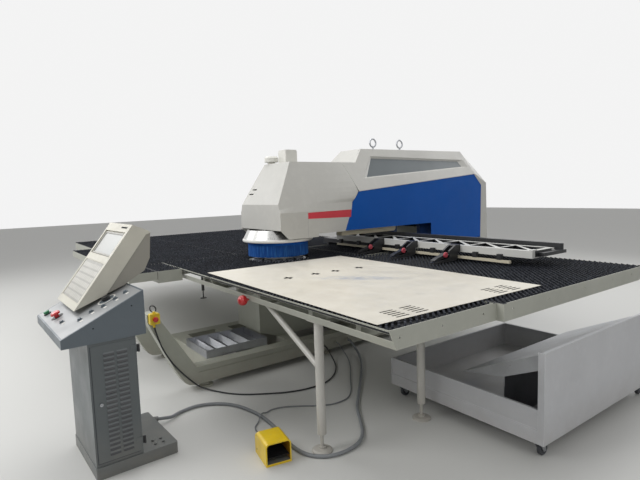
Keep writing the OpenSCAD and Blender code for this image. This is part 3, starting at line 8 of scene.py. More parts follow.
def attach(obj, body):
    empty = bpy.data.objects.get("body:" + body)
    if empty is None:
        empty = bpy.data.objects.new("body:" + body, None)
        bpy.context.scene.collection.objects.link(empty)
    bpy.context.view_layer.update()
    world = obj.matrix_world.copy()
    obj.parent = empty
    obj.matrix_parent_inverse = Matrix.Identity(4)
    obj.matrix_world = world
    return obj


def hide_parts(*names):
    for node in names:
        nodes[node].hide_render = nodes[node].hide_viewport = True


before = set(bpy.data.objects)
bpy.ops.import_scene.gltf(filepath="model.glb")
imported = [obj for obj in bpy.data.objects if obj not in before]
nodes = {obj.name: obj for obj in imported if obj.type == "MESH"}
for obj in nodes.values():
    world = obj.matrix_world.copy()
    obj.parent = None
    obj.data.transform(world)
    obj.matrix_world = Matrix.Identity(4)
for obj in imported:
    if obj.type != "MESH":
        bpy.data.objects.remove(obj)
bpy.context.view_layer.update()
scene = bpy.context.scene
scene.view_settings.view_transform = "Standard"

# Camera: focal length in pixels, angles in degrees, place in metres
PICTURE_WIDTH_PX, SENSOR_MM = 640, 36
FOCAL_PX, AZIMUTH, DOWN, ROLL = 485.88, 53.998, 5.657, 1.816
CAMERA_AT = Vector((4.305, -2.591, 1.600))


def add_camera():
    a, e, r = (math.radians(v) for v in (AZIMUTH, DOWN, ROLL))
    ahead = Vector((-math.sin(a) * math.cos(e), math.cos(a) * math.cos(e), -math.sin(e)))
    right = Vector((math.cos(a), math.sin(a), 0))
    below = ahead.cross(right)
    x = math.cos(r) * right + math.sin(r) * below
    y = math.sin(r) * right - math.cos(r) * below
    data = bpy.data.cameras.new("camera")
    data.sensor_width = SENSOR_MM
    data.lens = FOCAL_PX / PICTURE_WIDTH_PX * SENSOR_MM
    data.clip_start = 0.05
    cam = bpy.data.objects.new("camera", data)
    m = Matrix((x, y, -ahead)).transposed().to_4x4()
    m.translation = CAMERA_AT
    cam.matrix_world = m
    scene.collection.objects.link(cam)
    scene.camera = cam


add_camera()

# Places shared by paint and trim, in metres and degrees
TABLE_TOP, BRUSH_DECK = 0.944, 0.918
COVER_X = 0.400
CLAMPS_X = (0.490, 0.965, 1.475)
CONSOLE_AT, CONSOLE_TURN = (1.419, -2.110, 0), 2
PEDAL_AT, PEDAL_TURN = (1.822, -1.192, 0), -11
STAIN_AT = (1.54, -0.25, 0)


def heading(deg):
    """Directions across and along a piece that is turned about Z."""
    c, s = math.cos(math.radians(deg)), math.sin(math.radians(deg))
    return (c, s, 0), (-s, c, 0)


# Materials


def srgb(r, g, b):
    def lin(v):
        v /= 255
        return v / 12.92 if v <= 0.04045 else ((v + 0.055) / 1.055) ** 2.4
    return (lin(r), lin(g), lin(b), 1)


class Mat:
    """A material under construction: a Principled shader and helpers for its nodes."""

    def __init__(self, name, rgb, rough=0.5, metal=0.0, coat=0.0, specular=0.5):
        self.m = bpy.data.materials.new(name)
        self.m.use_nodes = True
        self.t = self.m.node_tree
        self.p = self.t.nodes["Principled BSDF"]
        self.base = srgb(*rgb)
        self.p.inputs["Base Color"].default_value = self.base
        self.p.inputs["Roughness"].default_value = rough
        self.p.inputs["Metallic"].default_value = metal
        self.p.inputs["Coat Weight"].default_value = coat
        self.p.inputs["Coat Roughness"].default_value = 0.15
        self.p.inputs["Specular IOR Level"].default_value = specular
        self.color = None
        self.height = None
        tc = self.node("ShaderNodeTexCoord")
        self.xyz = tc.outputs["Object"]

    def node(self, kind, **values):
        n = self.t.nodes.new(kind)
        for k, v in values.items():
            setattr(n, k, v)
        return n

    def link(self, a, b):
        self.t.links.new(a, b)

    def math(self, op, a, b=None):
        n = self.node("ShaderNodeMath", operation=op)
        for i, v in enumerate((a, b)):
            if v is None:
                continue
            if isinstance(v, (int, float)):
                n.inputs[i].default_value = v
            else:
                self.link(v, n.inputs[i])
        return n.outputs[0]

    def noise(self, scale, detail=3.0, rough=0.5, stretch=(1, 1, 1)):
        mp = self.node("ShaderNodeMapping")
        mp.inputs["Scale"].default_value = stretch
        self.link(self.xyz, mp.inputs["Vector"])
        n = self.node("ShaderNodeTexNoise")
        n.inputs["Scale"].default_value = scale
        n.inputs["Detail"].default_value = detail
        n.inputs["Roughness"].default_value = rough
        self.link(mp.outputs[0], n.inputs["Vector"])
        return n.outputs["Fac"]

    def ramp(self, value, low, high):
        """0 where value is low, 1 where it is high."""
        n = self.node("ShaderNodeMapRange")
        n.inputs["From Min"].default_value = low
        n.inputs["From Max"].default_value = high
        self.link(value, n.inputs["Value"])
        return n.outputs[0]

    def mix(self, mask, rgb):
        """Lays a colour over what is there, where mask is 1."""
        n = self.node("ShaderNodeMix", data_type="RGBA")
        factor, below, above = n.inputs[0], n.inputs[6], n.inputs[7]
        self.link(mask, factor)
        if self.color is None:
            below.default_value = self.base
        else:
            self.link(self.color, below)
        above.default_value = srgb(*rgb)
        self.color = n.outputs[2]
        return self

    def vary(self, scale, rgb, low, high, amount, **kw):
        """Clouds of another colour."""
        mask = self.ramp(self.noise(scale, **kw), low, high)
        return self.mix(self.math("MULTIPLY", mask, amount), rgb)

    def axis(self, index):
        """X, Y or Z of the point, in metres."""
        n = self.node("ShaderNodeSeparateXYZ")
        self.link(self.xyz, n.inputs[0])
        return n.outputs[index]

    def within(self, value, low, high):
        """1 where value, or the coordinate with that index, lies between low and high."""
        if isinstance(value, int):
            value = self.axis(value)
        return self.all(self.math("GREATER_THAN", value, low), self.math("LESS_THAN", value, high))

    def all(self, *masks):
        out = masks[0]
        for m in masks[1:]:
            out = self.math("MULTIPLY", out, m)
        return out

    def any(self, *masks):
        out = masks[0]
        for m in masks[1:]:
            out = self.math("MAXIMUM", out, m)
        return out

    def along(self, origin, direction):
        """Distance from origin along a direction, in metres."""
        d = self.node("ShaderNodeVectorMath", operation="DOT_PRODUCT")
        self.link(self.xyz, d.inputs[0])
        d.inputs[1].default_value = direction
        return self.math("SUBTRACT", d.outputs["Value"], Vector(origin).dot(Vector(direction)))

    def edge(self, rgb, width, amount):
        """Lighter paint along the edges, where a rounded normal leaves the true one: a painted
        highlight that also stands for worn paint.
        """
        flat, sharp = 0.985, 0.86
        b = self.node("ShaderNodeBevel", samples=4)
        b.inputs["Radius"].default_value = width
        g = self.node("ShaderNodeNewGeometry")
        d = self.node("ShaderNodeVectorMath", operation="DOT_PRODUCT")
        self.link(b.outputs[0], d.inputs[0])
        self.link(g.outputs["Normal"], d.inputs[1])
        mask = self.ramp(d.outputs["Value"], flat, sharp)
        return self.mix(self.math("MULTIPLY", mask, amount), rgb)

    def bump(self, height, strength, distance):
        n = self.node("ShaderNodeBump")
        n.inputs["Strength"].default_value = strength
        n.inputs["Distance"].default_value = distance
        self.link(height, n.inputs["Height"])
        if self.height is not None:
            self.link(self.height, n.inputs["Normal"])
        self.height = n.outputs[0]
        return self

    def roughness(self, value, low, high):
        """Roughness that follows a noise, whose values lie mostly between 0.3 and 0.7."""
        n = self.node("ShaderNodeMapRange")
        n.inputs["To Min"].default_value = low
        n.inputs["To Max"].default_value = high
        n.inputs["From Min"].default_value = 0.3
        n.inputs["From Max"].default_value = 0.7
        self.link(value, n.inputs["Value"])
        self.link(n.outputs[0], self.p.inputs["Roughness"])
        return self

    def done(self):
        if self.color is not None:
            self.link(self.color, self.p.inputs["Base Color"])
        if self.height is not None:
            self.link(self.height, self.p.inputs["Normal"])
        return self.m


def lighter(rgb, k):
    """The colour k times as bright; darker where k is below 1."""
    return tuple(max(0, min(255, v * k)) for v in rgb)


def enamel(name, rgb, rough=0.42, peel=0.12, dirt=0.5, edge=0.25, coat=0.15, specular=0.5):
    """Sprayed machine enamel: orange peel, slow colour drift, dust low down, a painted highlight on
    the edges.
    """
    m = Mat(name, rgb, rough, coat=coat, specular=specular)
    m.vary(1.7, lighter(rgb, 0.93), 0.35, 0.8, 0.8, detail=4)
    m.vary(14, lighter(rgb, 1.05), 0.5, 0.85, 0.5, detail=5, rough=0.65)
    if dirt:
        low = m.ramp(m.axis(2), 0.30, 0.0)
        m.mix(m.math("MULTIPLY", m.math("MULTIPLY", low, m.noise(9, 5)), dirt), (150, 142, 130))
        specks = m.ramp(m.noise(170, 2), 0.70, 0.78)
        m.mix(m.math("MULTIPLY", specks, 0.25 * dirt), lighter(rgb, 0.6))
    # A painted highlight: the edges are lightened.
    if edge:
        m.edge(lighter(rgb, 1.3), 0.004, edge)
    m.roughness(m.noise(6, 4), rough - 0.07, rough + 0.1)
    m.bump(m.noise(420, 2), peel, 0.0006)
    return m


def paint(*args, **kw):
    return enamel(*args, **kw).done()


def metal(name, rgb, rough, grain=(1, 40, 1)):
    """Brushed metal; grain is how much the brush marks are squeezed along each axis."""
    m = Mat(name, rgb, rough, metal=1.0)
    m.vary(6, lighter(rgb, 0.8), 0.4, 0.8, 0.7, detail=4)
    g = m.noise(30, 3, 0.6, grain)
    m.roughness(g, rough - 0.08, rough + 0.14)
    m.bump(g, 0.15, 0.0004)
    return m.done()


def plastic(name, rgb, rough=0.45, grain=0.1, coat=0.0):
    """Moulded plastic; grain is the strength of its fine texture."""
    m = Mat(name, rgb, rough, coat=coat)
    m.vary(5, lighter(rgb, 0.9), 0.4, 0.8, 0.6)
    m.roughness(m.noise(30, 3), rough - 0.06, rough + 0.1)
    m.bump(m.noise(900, 2), grain, 0.0003)
    return m.done()


def brush_material(name, rgb, light, stretch=(1, 1, 1), scale=55):
    """Bristles: light tips in a dark mass, with fine lines along Z."""
    m = Mat(name, rgb, 0.75, specular=0.3)
    m.vary(scale, light, 0.48, 0.72, 0.85, detail=2, stretch=stretch)
    m.vary(2.2, lighter(rgb, 0.6), 0.4, 0.8, 0.6)
    m.bump(m.noise(700, 2, stretch=(1, 1, 0.15)), 0.5, 0.001)
    return m.done()


COVER = (196, 195, 190)
FRAME = (168, 170, 158)


def cover_paint():
    """Light enamel, with painted shade on the floor of the rear cover's wedge-shaped recess and
    along a fold in the side.
    """
    crease_y, crease_z, crease_rise, side_lean = 0.778, 1.598, 0.0889, 0.508
    recess_floor, recess_y = (0.0188, 0.0216), (0.95, 2.70)
    fold_y, fold_z = (0.1088, 0.1112), (1.10, 1.409)
    m = enamel("cover_enamel", COVER, 0.45, 0.1, 0.0, 0.5, 0.1, 0.35)
    x, y, z = (m.axis(i) for i in range(3))
    along = m.math("SUBTRACT", y, crease_y)
    crease = m.math("ADD", m.math("MULTIPLY", along, crease_rise), crease_z)
    lean = m.math("MULTIPLY", m.math("SUBTRACT", z, crease), side_lean)
    deep = m.math("SUBTRACT", m.math("SUBTRACT", COVER_X, m.math("ABSOLUTE", x)), lean)
    # Painted shade on the floor of the recess.
    m.mix(m.all(m.within(deep, *recess_floor), m.within(1, *recess_y)), (104, 111, 114))
    # Painted shade: a dark line along the fold in the lower box's side.
    fold = m.all(m.within(1, *fold_y), m.within(2, *fold_z),
                 m.math("GREATER_THAN", m.math("ABSOLUTE", x), COVER_X - 0.001))
    m.mix(fold, (150, 152, 152))
    return m.done()


def frame_plate_paint():
    """Blue above the tables, darker than the side panels' blue as painted shade; the frame's grey
    below them.
    """
    tables_bottom = 0.86
    # The blue is darker than the side panels' blue: painted shade in the throat.
    m = enamel("frame_plate_enamel", (10, 56, 112), 0.45, 0.2, 0.3, 0.2)
    m.mix(m.math("LESS_THAN", m.axis(2), tables_bottom), FRAME)
    return m.done()


def table_paint():
    """Grey table frames; the plates between two brush fields are dark on top."""
    plate_z = 0.9345
    beside_centre, across, front = (0.575, 0.625), (-0.205, -0.150), (-1.262, -1.230)
    front_x, centre_y, centre_x = (-3.98, -0.03), (-1.0, 1.68), 0.62
    m = enamel("table_enamel", (171, 172, 162), 0.48, 0.2, 0.2, 0.35)
    wide = m.math("ABSOLUTE", m.axis(0))
    top = m.math("GREATER_THAN", m.axis(2), plate_z)
    plates = [m.within(wide, *beside_centre), m.within(1, *across),
              m.all(m.within(1, *front), m.within(0, *front_x)),
              m.all(m.within(1, *centre_y), m.math("LESS_THAN", wide, centre_x))]
    m.mix(m.all(top, m.any(*plates)), (46, 48, 52))
    return m.done()


def carriage_paint():
    """White beam with black pockets between its pale ribs."""
    pocket_y, pocket_z = (1.040, 1.290), (1.026, 1.0785)
    m = enamel("carriage_enamel", (206, 206, 202), 0.4, 0.1, 0.0, 0.2)
    m.mix(m.all(m.within(2, *pocket_z), m.within(1, *pocket_y)), (24, 25, 28))
    return m.done()


def bars_paint():
    """Black bars and brackets, the cream clamp bar in front."""
    carriage_front, clamp_bar_top = 1.0005, 0.9885
    m = enamel("bars_enamel", (34, 35, 38), 0.4, 0.2, 0.0, 0.4)
    m.mix(m.all(m.math("LESS_THAN", m.axis(1), carriage_front),
                m.math("LESS_THAN", m.axis(2), clamp_bar_top)), (206, 198, 176))
    return m.done()


def pedal_plastic():
    """Yellow hood, with painted shade inside it, its right wall lit amber by the yellow."""
    inside_l, inside_w, inside_z = (-0.0925, 0.1045), 0.0725, (0.0135, 0.1325)
    wall, floor = 0.0715, 0.0150
    m = Mat("pedal_plastic", (232, 198, 24), 0.35, coat=0.3)
    m.vary(9, (214, 176, 20), 0.4, 0.8, 0.7)
    u, v = (m.along(PEDAL_AT, direction) for direction in heading(PEDAL_TURN))
    hollow = m.all(m.within(u, *inside_l), m.within(v, -inside_w, inside_w),
                   m.within(2, *inside_z))
    # Painted shade inside the hood.
    m.mix(hollow, (30, 28, 24))
    m.mix(m.all(hollow, m.math("GREATER_THAN", v, wall)), (176, 122, 14))
    m.mix(m.all(hollow, m.math("LESS_THAN", m.axis(2), floor)), (120, 120, 116))
    dust = m.ramp(m.noise(40, 4), 0.55, 0.75)
    m.mix(m.math("MULTIPLY", dust, 0.25), (186, 170, 110))
    m.roughness(m.noise(30, 3), 0.3, 0.5)
    m.bump(m.noise(600, 2), 0.1, 0.0003)
    return m.done()


def housing_paint():
    """Beige plastic, with painted shade on the sides of the rear shell, which stand back."""
    right_side, left_side, near = -0.270, -0.750, 0.001
    m = Mat("beige_plastic", (205, 202, 189), 0.5)
    m.vary(5, (186, 183, 172), 0.4, 0.8, 0.6)
    x = m.along(CONSOLE_AT, heading(CONSOLE_TURN)[0])
    # Painted shade on the rear shell's sides.
    m.mix(m.any(m.within(x, right_side - near, right_side + near),
                m.within(x, left_side - near, left_side + near)), (150, 147, 138))
    m.roughness(m.noise(30, 3), 0.44, 0.6)
    m.bump(m.noise(900, 2), 0.25, 0.0003)
    return m.done()


def cabinet_paint():
    """Grey cabinet and door, painted shadow under the louvre hoods, dark on the hinges."""
    hood_x, louvres_y, louvres_z = -0.0045, (0.075, 0.225), (0.115, 0.76)
    hinge_y, base_top = 0.2690, 0.10
    m = enamel("cabinet_enamel", (90, 96, 98), 0.45, 0.3, 0.5, 0.35)
    x, y = (m.along(CONSOLE_AT, direction) for direction in heading(CONSOLE_TURN))
    # Painted shadow: the outer part of each louvre hood is dark.
    hood_shadow = m.all(m.math("GREATER_THAN", x, hood_x), m.within(y, *louvres_y),
                  m.within(2, *louvres_z))
    m.mix(hood_shadow, (36, 38, 41))
    m.mix(m.all(m.math("GREATER_THAN", y, hinge_y), m.math("GREATER_THAN", m.axis(2), base_top)),
          (26, 27, 29))
    return m.done()


MATS = {
    "cover": cover_paint(),
    "white": paint("white_enamel", (222, 221, 214), 0.4, 0.1, 0.0, 0.2),
    "blue": paint("blue_enamel", (0, 84, 172), 0.5, 0.1, 0.1, 0.15, 0.0, 0.2),
    "frame_plate": frame_plate_paint(),
    "frame": paint("frame_enamel", FRAME, 0.5, 0.25, 0.9, 0.3),
    "table": table_paint(),
    "carriage": carriage_paint(),
    "bars": bars_paint(),
    "pedal": pedal_plastic(),
    "leg": paint("leg_enamel", (192, 190, 184), 0.42, 0.15, 0.7, 0.2),
    "black": paint("black_enamel", (26, 27, 30), 0.42, 0.2, 0.3, 0.3),
    "motor": paint("motor_enamel", (52, 58, 66), 0.5, 0.3, 0.2, 0.3),
    "trolley": paint("trolley_enamel", (192, 193, 196), 0.5, 0.2, 0.6, 0.4),
    "console": paint("console_enamel", (92, 101, 108), 0.45, 0.3, 0.5, 0.35),
    "cabinet": cabinet_paint(),
    "panel": paint("desk_panel_film", (150, 152, 153), 0.4, 0.05, 0.0, 0.2),
    "membrane": plastic("membrane_film", (158, 156, 149), 0.4, 0.1),
    "key": plastic("membrane_keys", (188, 186, 178), 0.38, 0.1),
    "cream": plastic("cream_plastic", (214, 205, 180)),
    "beige": housing_paint(),
    "black_plastic": plastic("black_plastic", (24, 24, 26), 0.5, 0.3),
    "red": plastic("red_plastic", (196, 28, 32), 0.28, 0.03, 0.5),
    "lever": plastic("lever_plastic", (186, 70, 84), 0.4, 0.1),
    "green": plastic("green_plastic", (20, 120, 72), 0.28, 0.03, 0.5),
    "yellow": plastic("yellow_plastic", (232, 200, 28), 0.35, 0.08, 0.3),
    "rubber": plastic("wheel_rubber", (58, 60, 64), 0.7, 0.4),
    "steel": metal("machined_steel", (170, 172, 176), 0.34),
    "dark_steel": metal("ground_tool_steel", (118, 121, 128), 0.3, (1, 1, 30)),
    "sheath": plastic("cable_sheath", (128, 131, 134), 0.55, 0.15),
    "dark_sheath": plastic("dark_cable_sheath", (36, 37, 40), 0.5, 0.15),
    "brush": brush_material("black_bristle", (34, 37, 44), (78, 82, 92)),
    "blue_brush": brush_material("blue_bristle", (24, 84, 162), (62, 132, 204), (1, 1, 0.12), 70),
    "bed": plastic("brush_bed", (20, 22, 26), 0.85, 0.4),
    "stripe": plastic("red_stripe_film", (206, 46, 62), 0.35, 0.05, 0.2),
}


def screen_glass():
    """Pale screen film with faint clouds."""
    m = Mat("screen_glass", (150, 152, 148), 0.3, coat=0.1)
    m.vary(3, (136, 140, 137), 0.4, 0.8, 0.7)
    m.bump(m.noise(60, 2), 0.02, 0.0002)
    return m.done()


def sheet_metal():
    """Pale filmed sheet: fine scratches, faint clouds and one blue-grey smear."""
    smear_along, smear_across, thin, wide = (0.72, 0.69, 0), (-0.69, 0.72, 0), 9, 2.6
    m = Mat("filmed_sheet", (214, 209, 196), 0.42, coat=0.1)
    m.vary(1.1, (205, 199, 184), 0.35, 0.75, 0.9, detail=4)
    m.vary(9, (222, 218, 207), 0.45, 0.8, 0.6, detail=5)
    scratches = m.ramp(m.noise(5, 6, 0.7, (0.6, 22, 1)), 0.66, 0.72)
    m.mix(m.math("MULTIPLY", scratches, 0.35), (186, 184, 178))
    du, dv = m.along(STAIN_AT, smear_along), m.along(STAIN_AT, smear_across)
    far = m.math("SQRT", m.math("ADD", m.math("POWER", m.math("MULTIPLY", du, wide), 2),
                                m.math("POWER", m.math("MULTIPLY", dv, thin), 2)))
    smear = m.math("MULTIPLY", m.ramp(far, 1.0, 0.35), m.ramp(m.noise(14, 5), 0.35, 0.6))
    m.mix(m.math("MULTIPLY", smear, 0.7), (150, 158, 172))
    m.roughness(m.noise(7, 5, 0.6), 0.32, 0.55)
    m.bump(m.noise(2.2, 2), 0.12, 0.004)
    m.bump(m.noise(160, 3), 0.05, 0.0004)
    return m.done()


def rim_material():
    """White lip below, bare brushed metal on the cone above it."""
    cone_z = 1.1503
    m = Mat("rim_enamel", (228, 227, 222), 0.3, coat=0.2)
    m.vary(8, (212, 211, 206), 0.4, 0.8, 0.6)
    bare = m.math("GREATER_THAN", m.axis(2), cone_z)
    m.mix(bare, (176, 176, 174))
    m.link(bare, m.p.inputs["Metallic"])
    m.roughness(m.noise(90, 3, 0.6, (1, 1, 0.05)), 0.22, 0.4)
    m.bump(m.noise(300, 2), 0.08, 0.0005)
    return m.done()


MATS["glass"] = screen_glass()
MATS["sheet"] = sheet_metal()
MATS["rim"] = rim_material()

CAD_MATERIALS = {
    "cover": ["head_cover", "rear_cover"],
    "rim": ["head_rim"],
    "white": ["junction_box", "breather_cap"],
    "carriage": ["x_carriage"],
    "bars": ["carriage_bars"],
    "blue": ["side_panels"],
    "frame_plate": ["c_frame"],
    "frame": ["base_frame", "frame_webs"],
    "table": ["centre_table", "front_right_table", "rear_right_table", "left_table"],
    "leg": ["right_legs"],
    "black": ["left_legs", "y_saddle", "clamp_bodies", "clamp_jaw_1", "clamp_jaw_2",
              "clamp_jaw_3"],
    "motor": ["turret_motors", "hydraulic_cylinder", "hydraulic_unit"],
    "steel": ["upper_turret", "lower_turret", "lifting_eyes", "scrap_tray", "y_rails",
              "swivel_fork_1", "swivel_fork_2", "trolley_chute"],
    "dark_steel": ["punches", "dies", "ram"],
    "cream": ["hose_guard"],
    "sheet": ["work_sheet"],
    "console": ["console_desk"],
    "cabinet": ["console_cabinet", "console_door"],
    "beige": ["control_housing"],
    "red": ["lock_knob", "console_stop", "estop_button"],
    "green": ["start_button"],
    "black_plastic": ["feed_dial", "foot_pedal"],
    "yellow": ["estop_box"],
    "pedal": ["pedal_guard"],
    "trolley": ["trolley_bin"],
    "rubber": ["trolley_wheel_1", "trolley_wheel_2", "trolley_wheel_3", "trolley_wheel_4"],
}


def dress(node, mat):
    o = nodes[node]
    o.data.materials.clear()
    o.data.materials.append(mat)


for key, names in CAD_MATERIALS.items():
    for name in names:
        dress(name, MATS[key])

# Mesh helpers


def piece(name, verts, faces, mat, body="press", slot=None, smooth=False):
    """A new object that rides on a body, in one of the MATS materials; slot is not used."""
    me = bpy.data.meshes.new(name)
    me.from_pydata([tuple(v) for v in verts], [], [tuple(f) for f in faces])
    me.materials.append(MATS[mat])
    if smooth:
        me.polygons.foreach_set("use_smooth", [True] * len(me.polygons))
    me.validate()
    me.update()
    o = bpy.data.objects.new(name, me)
    scene.collection.objects.link(o)
    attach(o, body)
    return o


def bevelled(o, width):
    """Rounds the edges that turn by more than 35 degrees."""
    b = o.modifiers.new("bevel", "BEVEL")
    b.width = width
    b.segments = 2
    b.limit_method = "ANGLE"
    b.angle_limit = math.radians(35)
    return o


def block(lo, hi, m=Matrix.Identity(4)):
    """Vertices and faces of a box, placed by m."""
    v = [m @ Vector((x, y, z))
         for x in (lo[0], hi[0]) for y in (lo[1], hi[1]) for z in (lo[2], hi[2])]
    f = [(0, 1, 3, 2), (4, 6, 7, 5), (0, 4, 5, 1), (2, 3, 7, 6), (0, 2, 6, 4), (1, 5, 7, 3)]
    return v, f


def join(parts):
    """One list of vertices and faces from several."""
    verts, faces = [], []
    for v, f in parts:
        n = len(verts)
        verts += v
        faces += [tuple(i + n for i in face) for face in f]
    return verts, faces


def turned(profile, m=Matrix.Identity(4), sides=32):
    """A closed body turned about Z from a closed (radius, height) profile."""
    n = len(profile)
    verts = [m @ Vector((r * math.cos(2 * math.pi * k / sides),
                         r * math.sin(2 * math.pi * k / sides), z))
             for k in range(sides) for r, z in profile]
    faces = [(k * n + i, ((k + 1) % sides) * n + i, ((k + 1) % sides) * n + (i + 1) % n,
              k * n + (i + 1) % n) for k in range(sides) for i in range(n)]
    return verts, faces


def move(x, y, z):
    return Matrix.Translation((x, y, z))


def turn(deg, axis):
    return Matrix.Rotation(math.radians(deg), 4, axis)


# Cords: diameter and route in metres, from the gland on the device to the one on the beam
CABLE_STEPS = 8
ROUTES = {
    "console_conduit": (0.024, [
        [0.95, -1.615, 0.044], [0.948, -1.572, 0.036], [0.93, -1.51, 0.02],
        [0.88, -1.425, 0.013], [0.862, -1.29, 0.013], [0.93, -1.15, 0.013], [1.07, -1.05, 0.013],
        [1.3, -1, 0.013], [1.56, -1.01, 0.013], [1.8, -1.048, 0.013], [1.95, -1.035, 0.013],
        [2.045, -0.96, 0.013], [2.078, -0.84, 0.013], [2.05, -0.7, 0.013], [1.96, -0.59, 0.013],
        [1.82, -0.49, 0.013], [1.65, -0.37, 0.013], [1.44, -0.17, 0.013], [1.2, 0.06, 0.013],
        [0.96, 0.27, 0.014], [0.78, 0.39, 0.024], [0.67, 0.428, 0.06], [0.612, 0.436, 0.094],
        [0.572, 0.436, 0.104]]),
    "pedal_cable": (0.010, [
        [1.6993, -1.1682, 0.026], [1.66, -1.1606, 0.02], [1.6, -1.148, 0.009],
        [1.52, -1.132, 0.006], [1.44, -1.108, 0.006], [1.387, -1.055, 0.008],
        [1.358, -1.024, 0.025], [1.335, -1, 0.032], [1.316, -0.972, 0.025],
        [1.292, -0.935, 0.008], [1.272, -0.87, 0.006], [1.296, -0.78, 0.006],
        [1.36, -0.68, 0.006], [1.44, -0.57, 0.006], [1.49, -0.46, 0.006], [1.48, -0.33, 0.006],
        [1.39, -0.215, 0.006], [1.2, -0.06, 0.006], [0.98, 0.12, 0.007], [0.8, 0.24, 0.012],
        [0.68, 0.278, 0.054], [0.612, 0.286, 0.094], [0.572, 0.286, 0.104]]),
    "stop_cable": (0.012, [
        [0.566, -1.482, 0.6], [0.562, -1.468, 0.54], [0.559, -1.43, 0.42], [0.559, -1.37, 0.3],
        [0.559, -1.3, 0.2], [0.56, -1.225, 0.112], [0.574, -1.16, 0.046], [0.604, -1.105, 0.015],
        [0.68, -1.06, 0.008], [0.8, -0.99, 0.007], [0.9, -0.9, 0.007], [1, -0.76, 0.007],
        [1.085, -0.61, 0.007], [1.13, -0.44, 0.007], [1.12, -0.27, 0.007], [1.04, -0.12, 0.007],
        [0.91, 0.01, 0.008], [0.78, 0.09, 0.014], [0.68, 0.126, 0.046], [0.612, 0.132, 0.092],
        [0.572, 0.132, 0.104]]),
}


def smooth_route(points, steps):
    """A Catmull-Rom curve through the points."""
    p = [Vector(q) for q in points]
    out = []
    for i in range(len(p) - 1):
        a, b, c, d = p[max(i - 1, 0)], p[i], p[i + 1], p[min(i + 2, len(p) - 1)]
        for s in range(steps):
            t = s / steps
            out.append(0.5 * (2 * b + (c - a) * t + (2 * a - 5 * b + 4 * c - d) * t * t
                              + (3 * b - a - 3 * c + d) * t ** 3))
    return out + [p[-1]]


def evenly(path, step):
    """The same line with points a fixed step apart."""
    out, left = [path[0]], step
    for a, b in zip(path, path[1:]):
        d = (b - a).length
        while left <= d:
            out.append(a.lerp(b, left / d))
            left += step
        left -= d
    return out + [path[-1]]


def tube(path, radii, sides):
    """A closed tube along path; radii gives one radius per point."""
    verts, faces = [], []
    side = Vector((0, 0, 1)).cross((path[1] - path[0]).normalized())
    for i, p in enumerate(path):
        t = (path[min(i + 1, len(path) - 1)] - path[max(i - 1, 0)]).normalized()
        side = (side - t * side.dot(t)).normalized()
        up = t.cross(side)
        for k in range(sides):
            a = 2 * math.pi * k / sides
            verts.append(p + radii[i] * (side * math.cos(a) + up * math.sin(a)))
    for i in range(len(path) - 1):
        for k in range(sides):
            k2 = (k + 1) % sides
            faces.append((i * sides + k, i * sides + k2, (i + 1) * sides + k2, (i + 1) * sides + k))
    faces.append(tuple(range(sides - 1, -1, -1)))
    faces.append(tuple(range((len(path) - 1) * sides, len(path) * sides)))
    return verts, faces


def add_cords():
    rib_step, plain_step, rib_depth = 0.004, 0.012, 0.0012
    for name, (d, points) in ROUTES.items():
        ribbed = name == "console_conduit"
        path = evenly(smooth_route(points, CABLE_STEPS), rib_step if ribbed else plain_step)
        radii = [d / 2 - (rib_depth if ribbed and i % 2 else 0) for i in range(len(path))]
        mat = "dark_sheath" if name == "stop_cable" else "sheath"
        o = piece(name + "_run", *tube(path, radii, 12 if ribbed else 10), mat, slot="cable_grey",
                  smooth=not ribbed)
        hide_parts(name)


add_cords()

# Brush fields: areas as (x from, x to, y from, y to)
FIELDS = {
    "centre": [(-0.600, 0.600, -1.025, 0.720), (-0.520, 0.520, 0.720, 1.703),
               (-0.600, -0.020, -1.246, -1.025)],
    "front_right": [(0.600, 2.680, -1.025, -0.176)],
    "rear_right": [(0.600, 2.730, -0.176, 1.703)],
    "left_front": [(-4.000, -0.600, -1.246, -0.176), (-2.680, -0.020, -1.500, -1.252)],
    "left_rear": [(-4.000, -0.600, -0.176, 1.703)],
}


def tuft_places(areas):
    """A grid turned by 45 degrees over the areas, open round the tools."""
    pitch, edge, hole = 0.0212, 0.013, 0.310
    for x0, x1, y0, y1 in areas:
        rows = int((y1 - y0 - 2 * edge) / pitch)
        cols = int((x1 - x0 - 2 * edge) / (2 * pitch))
        for j in range(rows + 1):
            for i in range(cols + 1):
                x = x0 + edge + 2 * pitch * i + (pitch if j % 2 else 0)
                y = y0 + edge + pitch * j
                if x <= x1 - edge and math.hypot(x, y) >= hole:
                    yield x, y


def add_tufts(name, areas, rnd):
    """Bundles of five-sided bristles, each a little different in lean, height and width."""
    sides, foot_r, foot_z = 5, 0.0045, BRUSH_DECK + 0.004
    ring = [(math.cos(2 * math.pi * k / sides), math.sin(2 * math.pi * k / sides))
            for k in range(sides)]
    verts, faces = [], []
    for x, y in tuft_places(areas):
        lx, ly = rnd.uniform(-0.0025, 0.0025), rnd.uniform(-0.0025, 0.0025)
        top, spin = TABLE_TOP - rnd.uniform(0, 0.0012), rnd.uniform(0, 1.2)
        head_r = rnd.uniform(0.0068, 0.0088)
        c, s = math.cos(spin), math.sin(spin)
        n = len(verts)
        for dx, dy, r, z in ((0, 0, foot_r, foot_z), (lx, ly, head_r, top)):
            verts += [(x + dx + r * (c * u - s * v), y + dy + r * (s * u + c * v), z)
                      for u, v in ring]
        faces += [(n + k, n + (k + 1) % sides, n + sides + (k + 1) % sides, n + sides + k)
                  for k in range(sides)]
        faces.append(tuple(range(n + sides, n + 2 * sides)))
    o = piece(name + "_tufts", verts, faces, "brush", slot="brush")
    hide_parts("brush_tops")


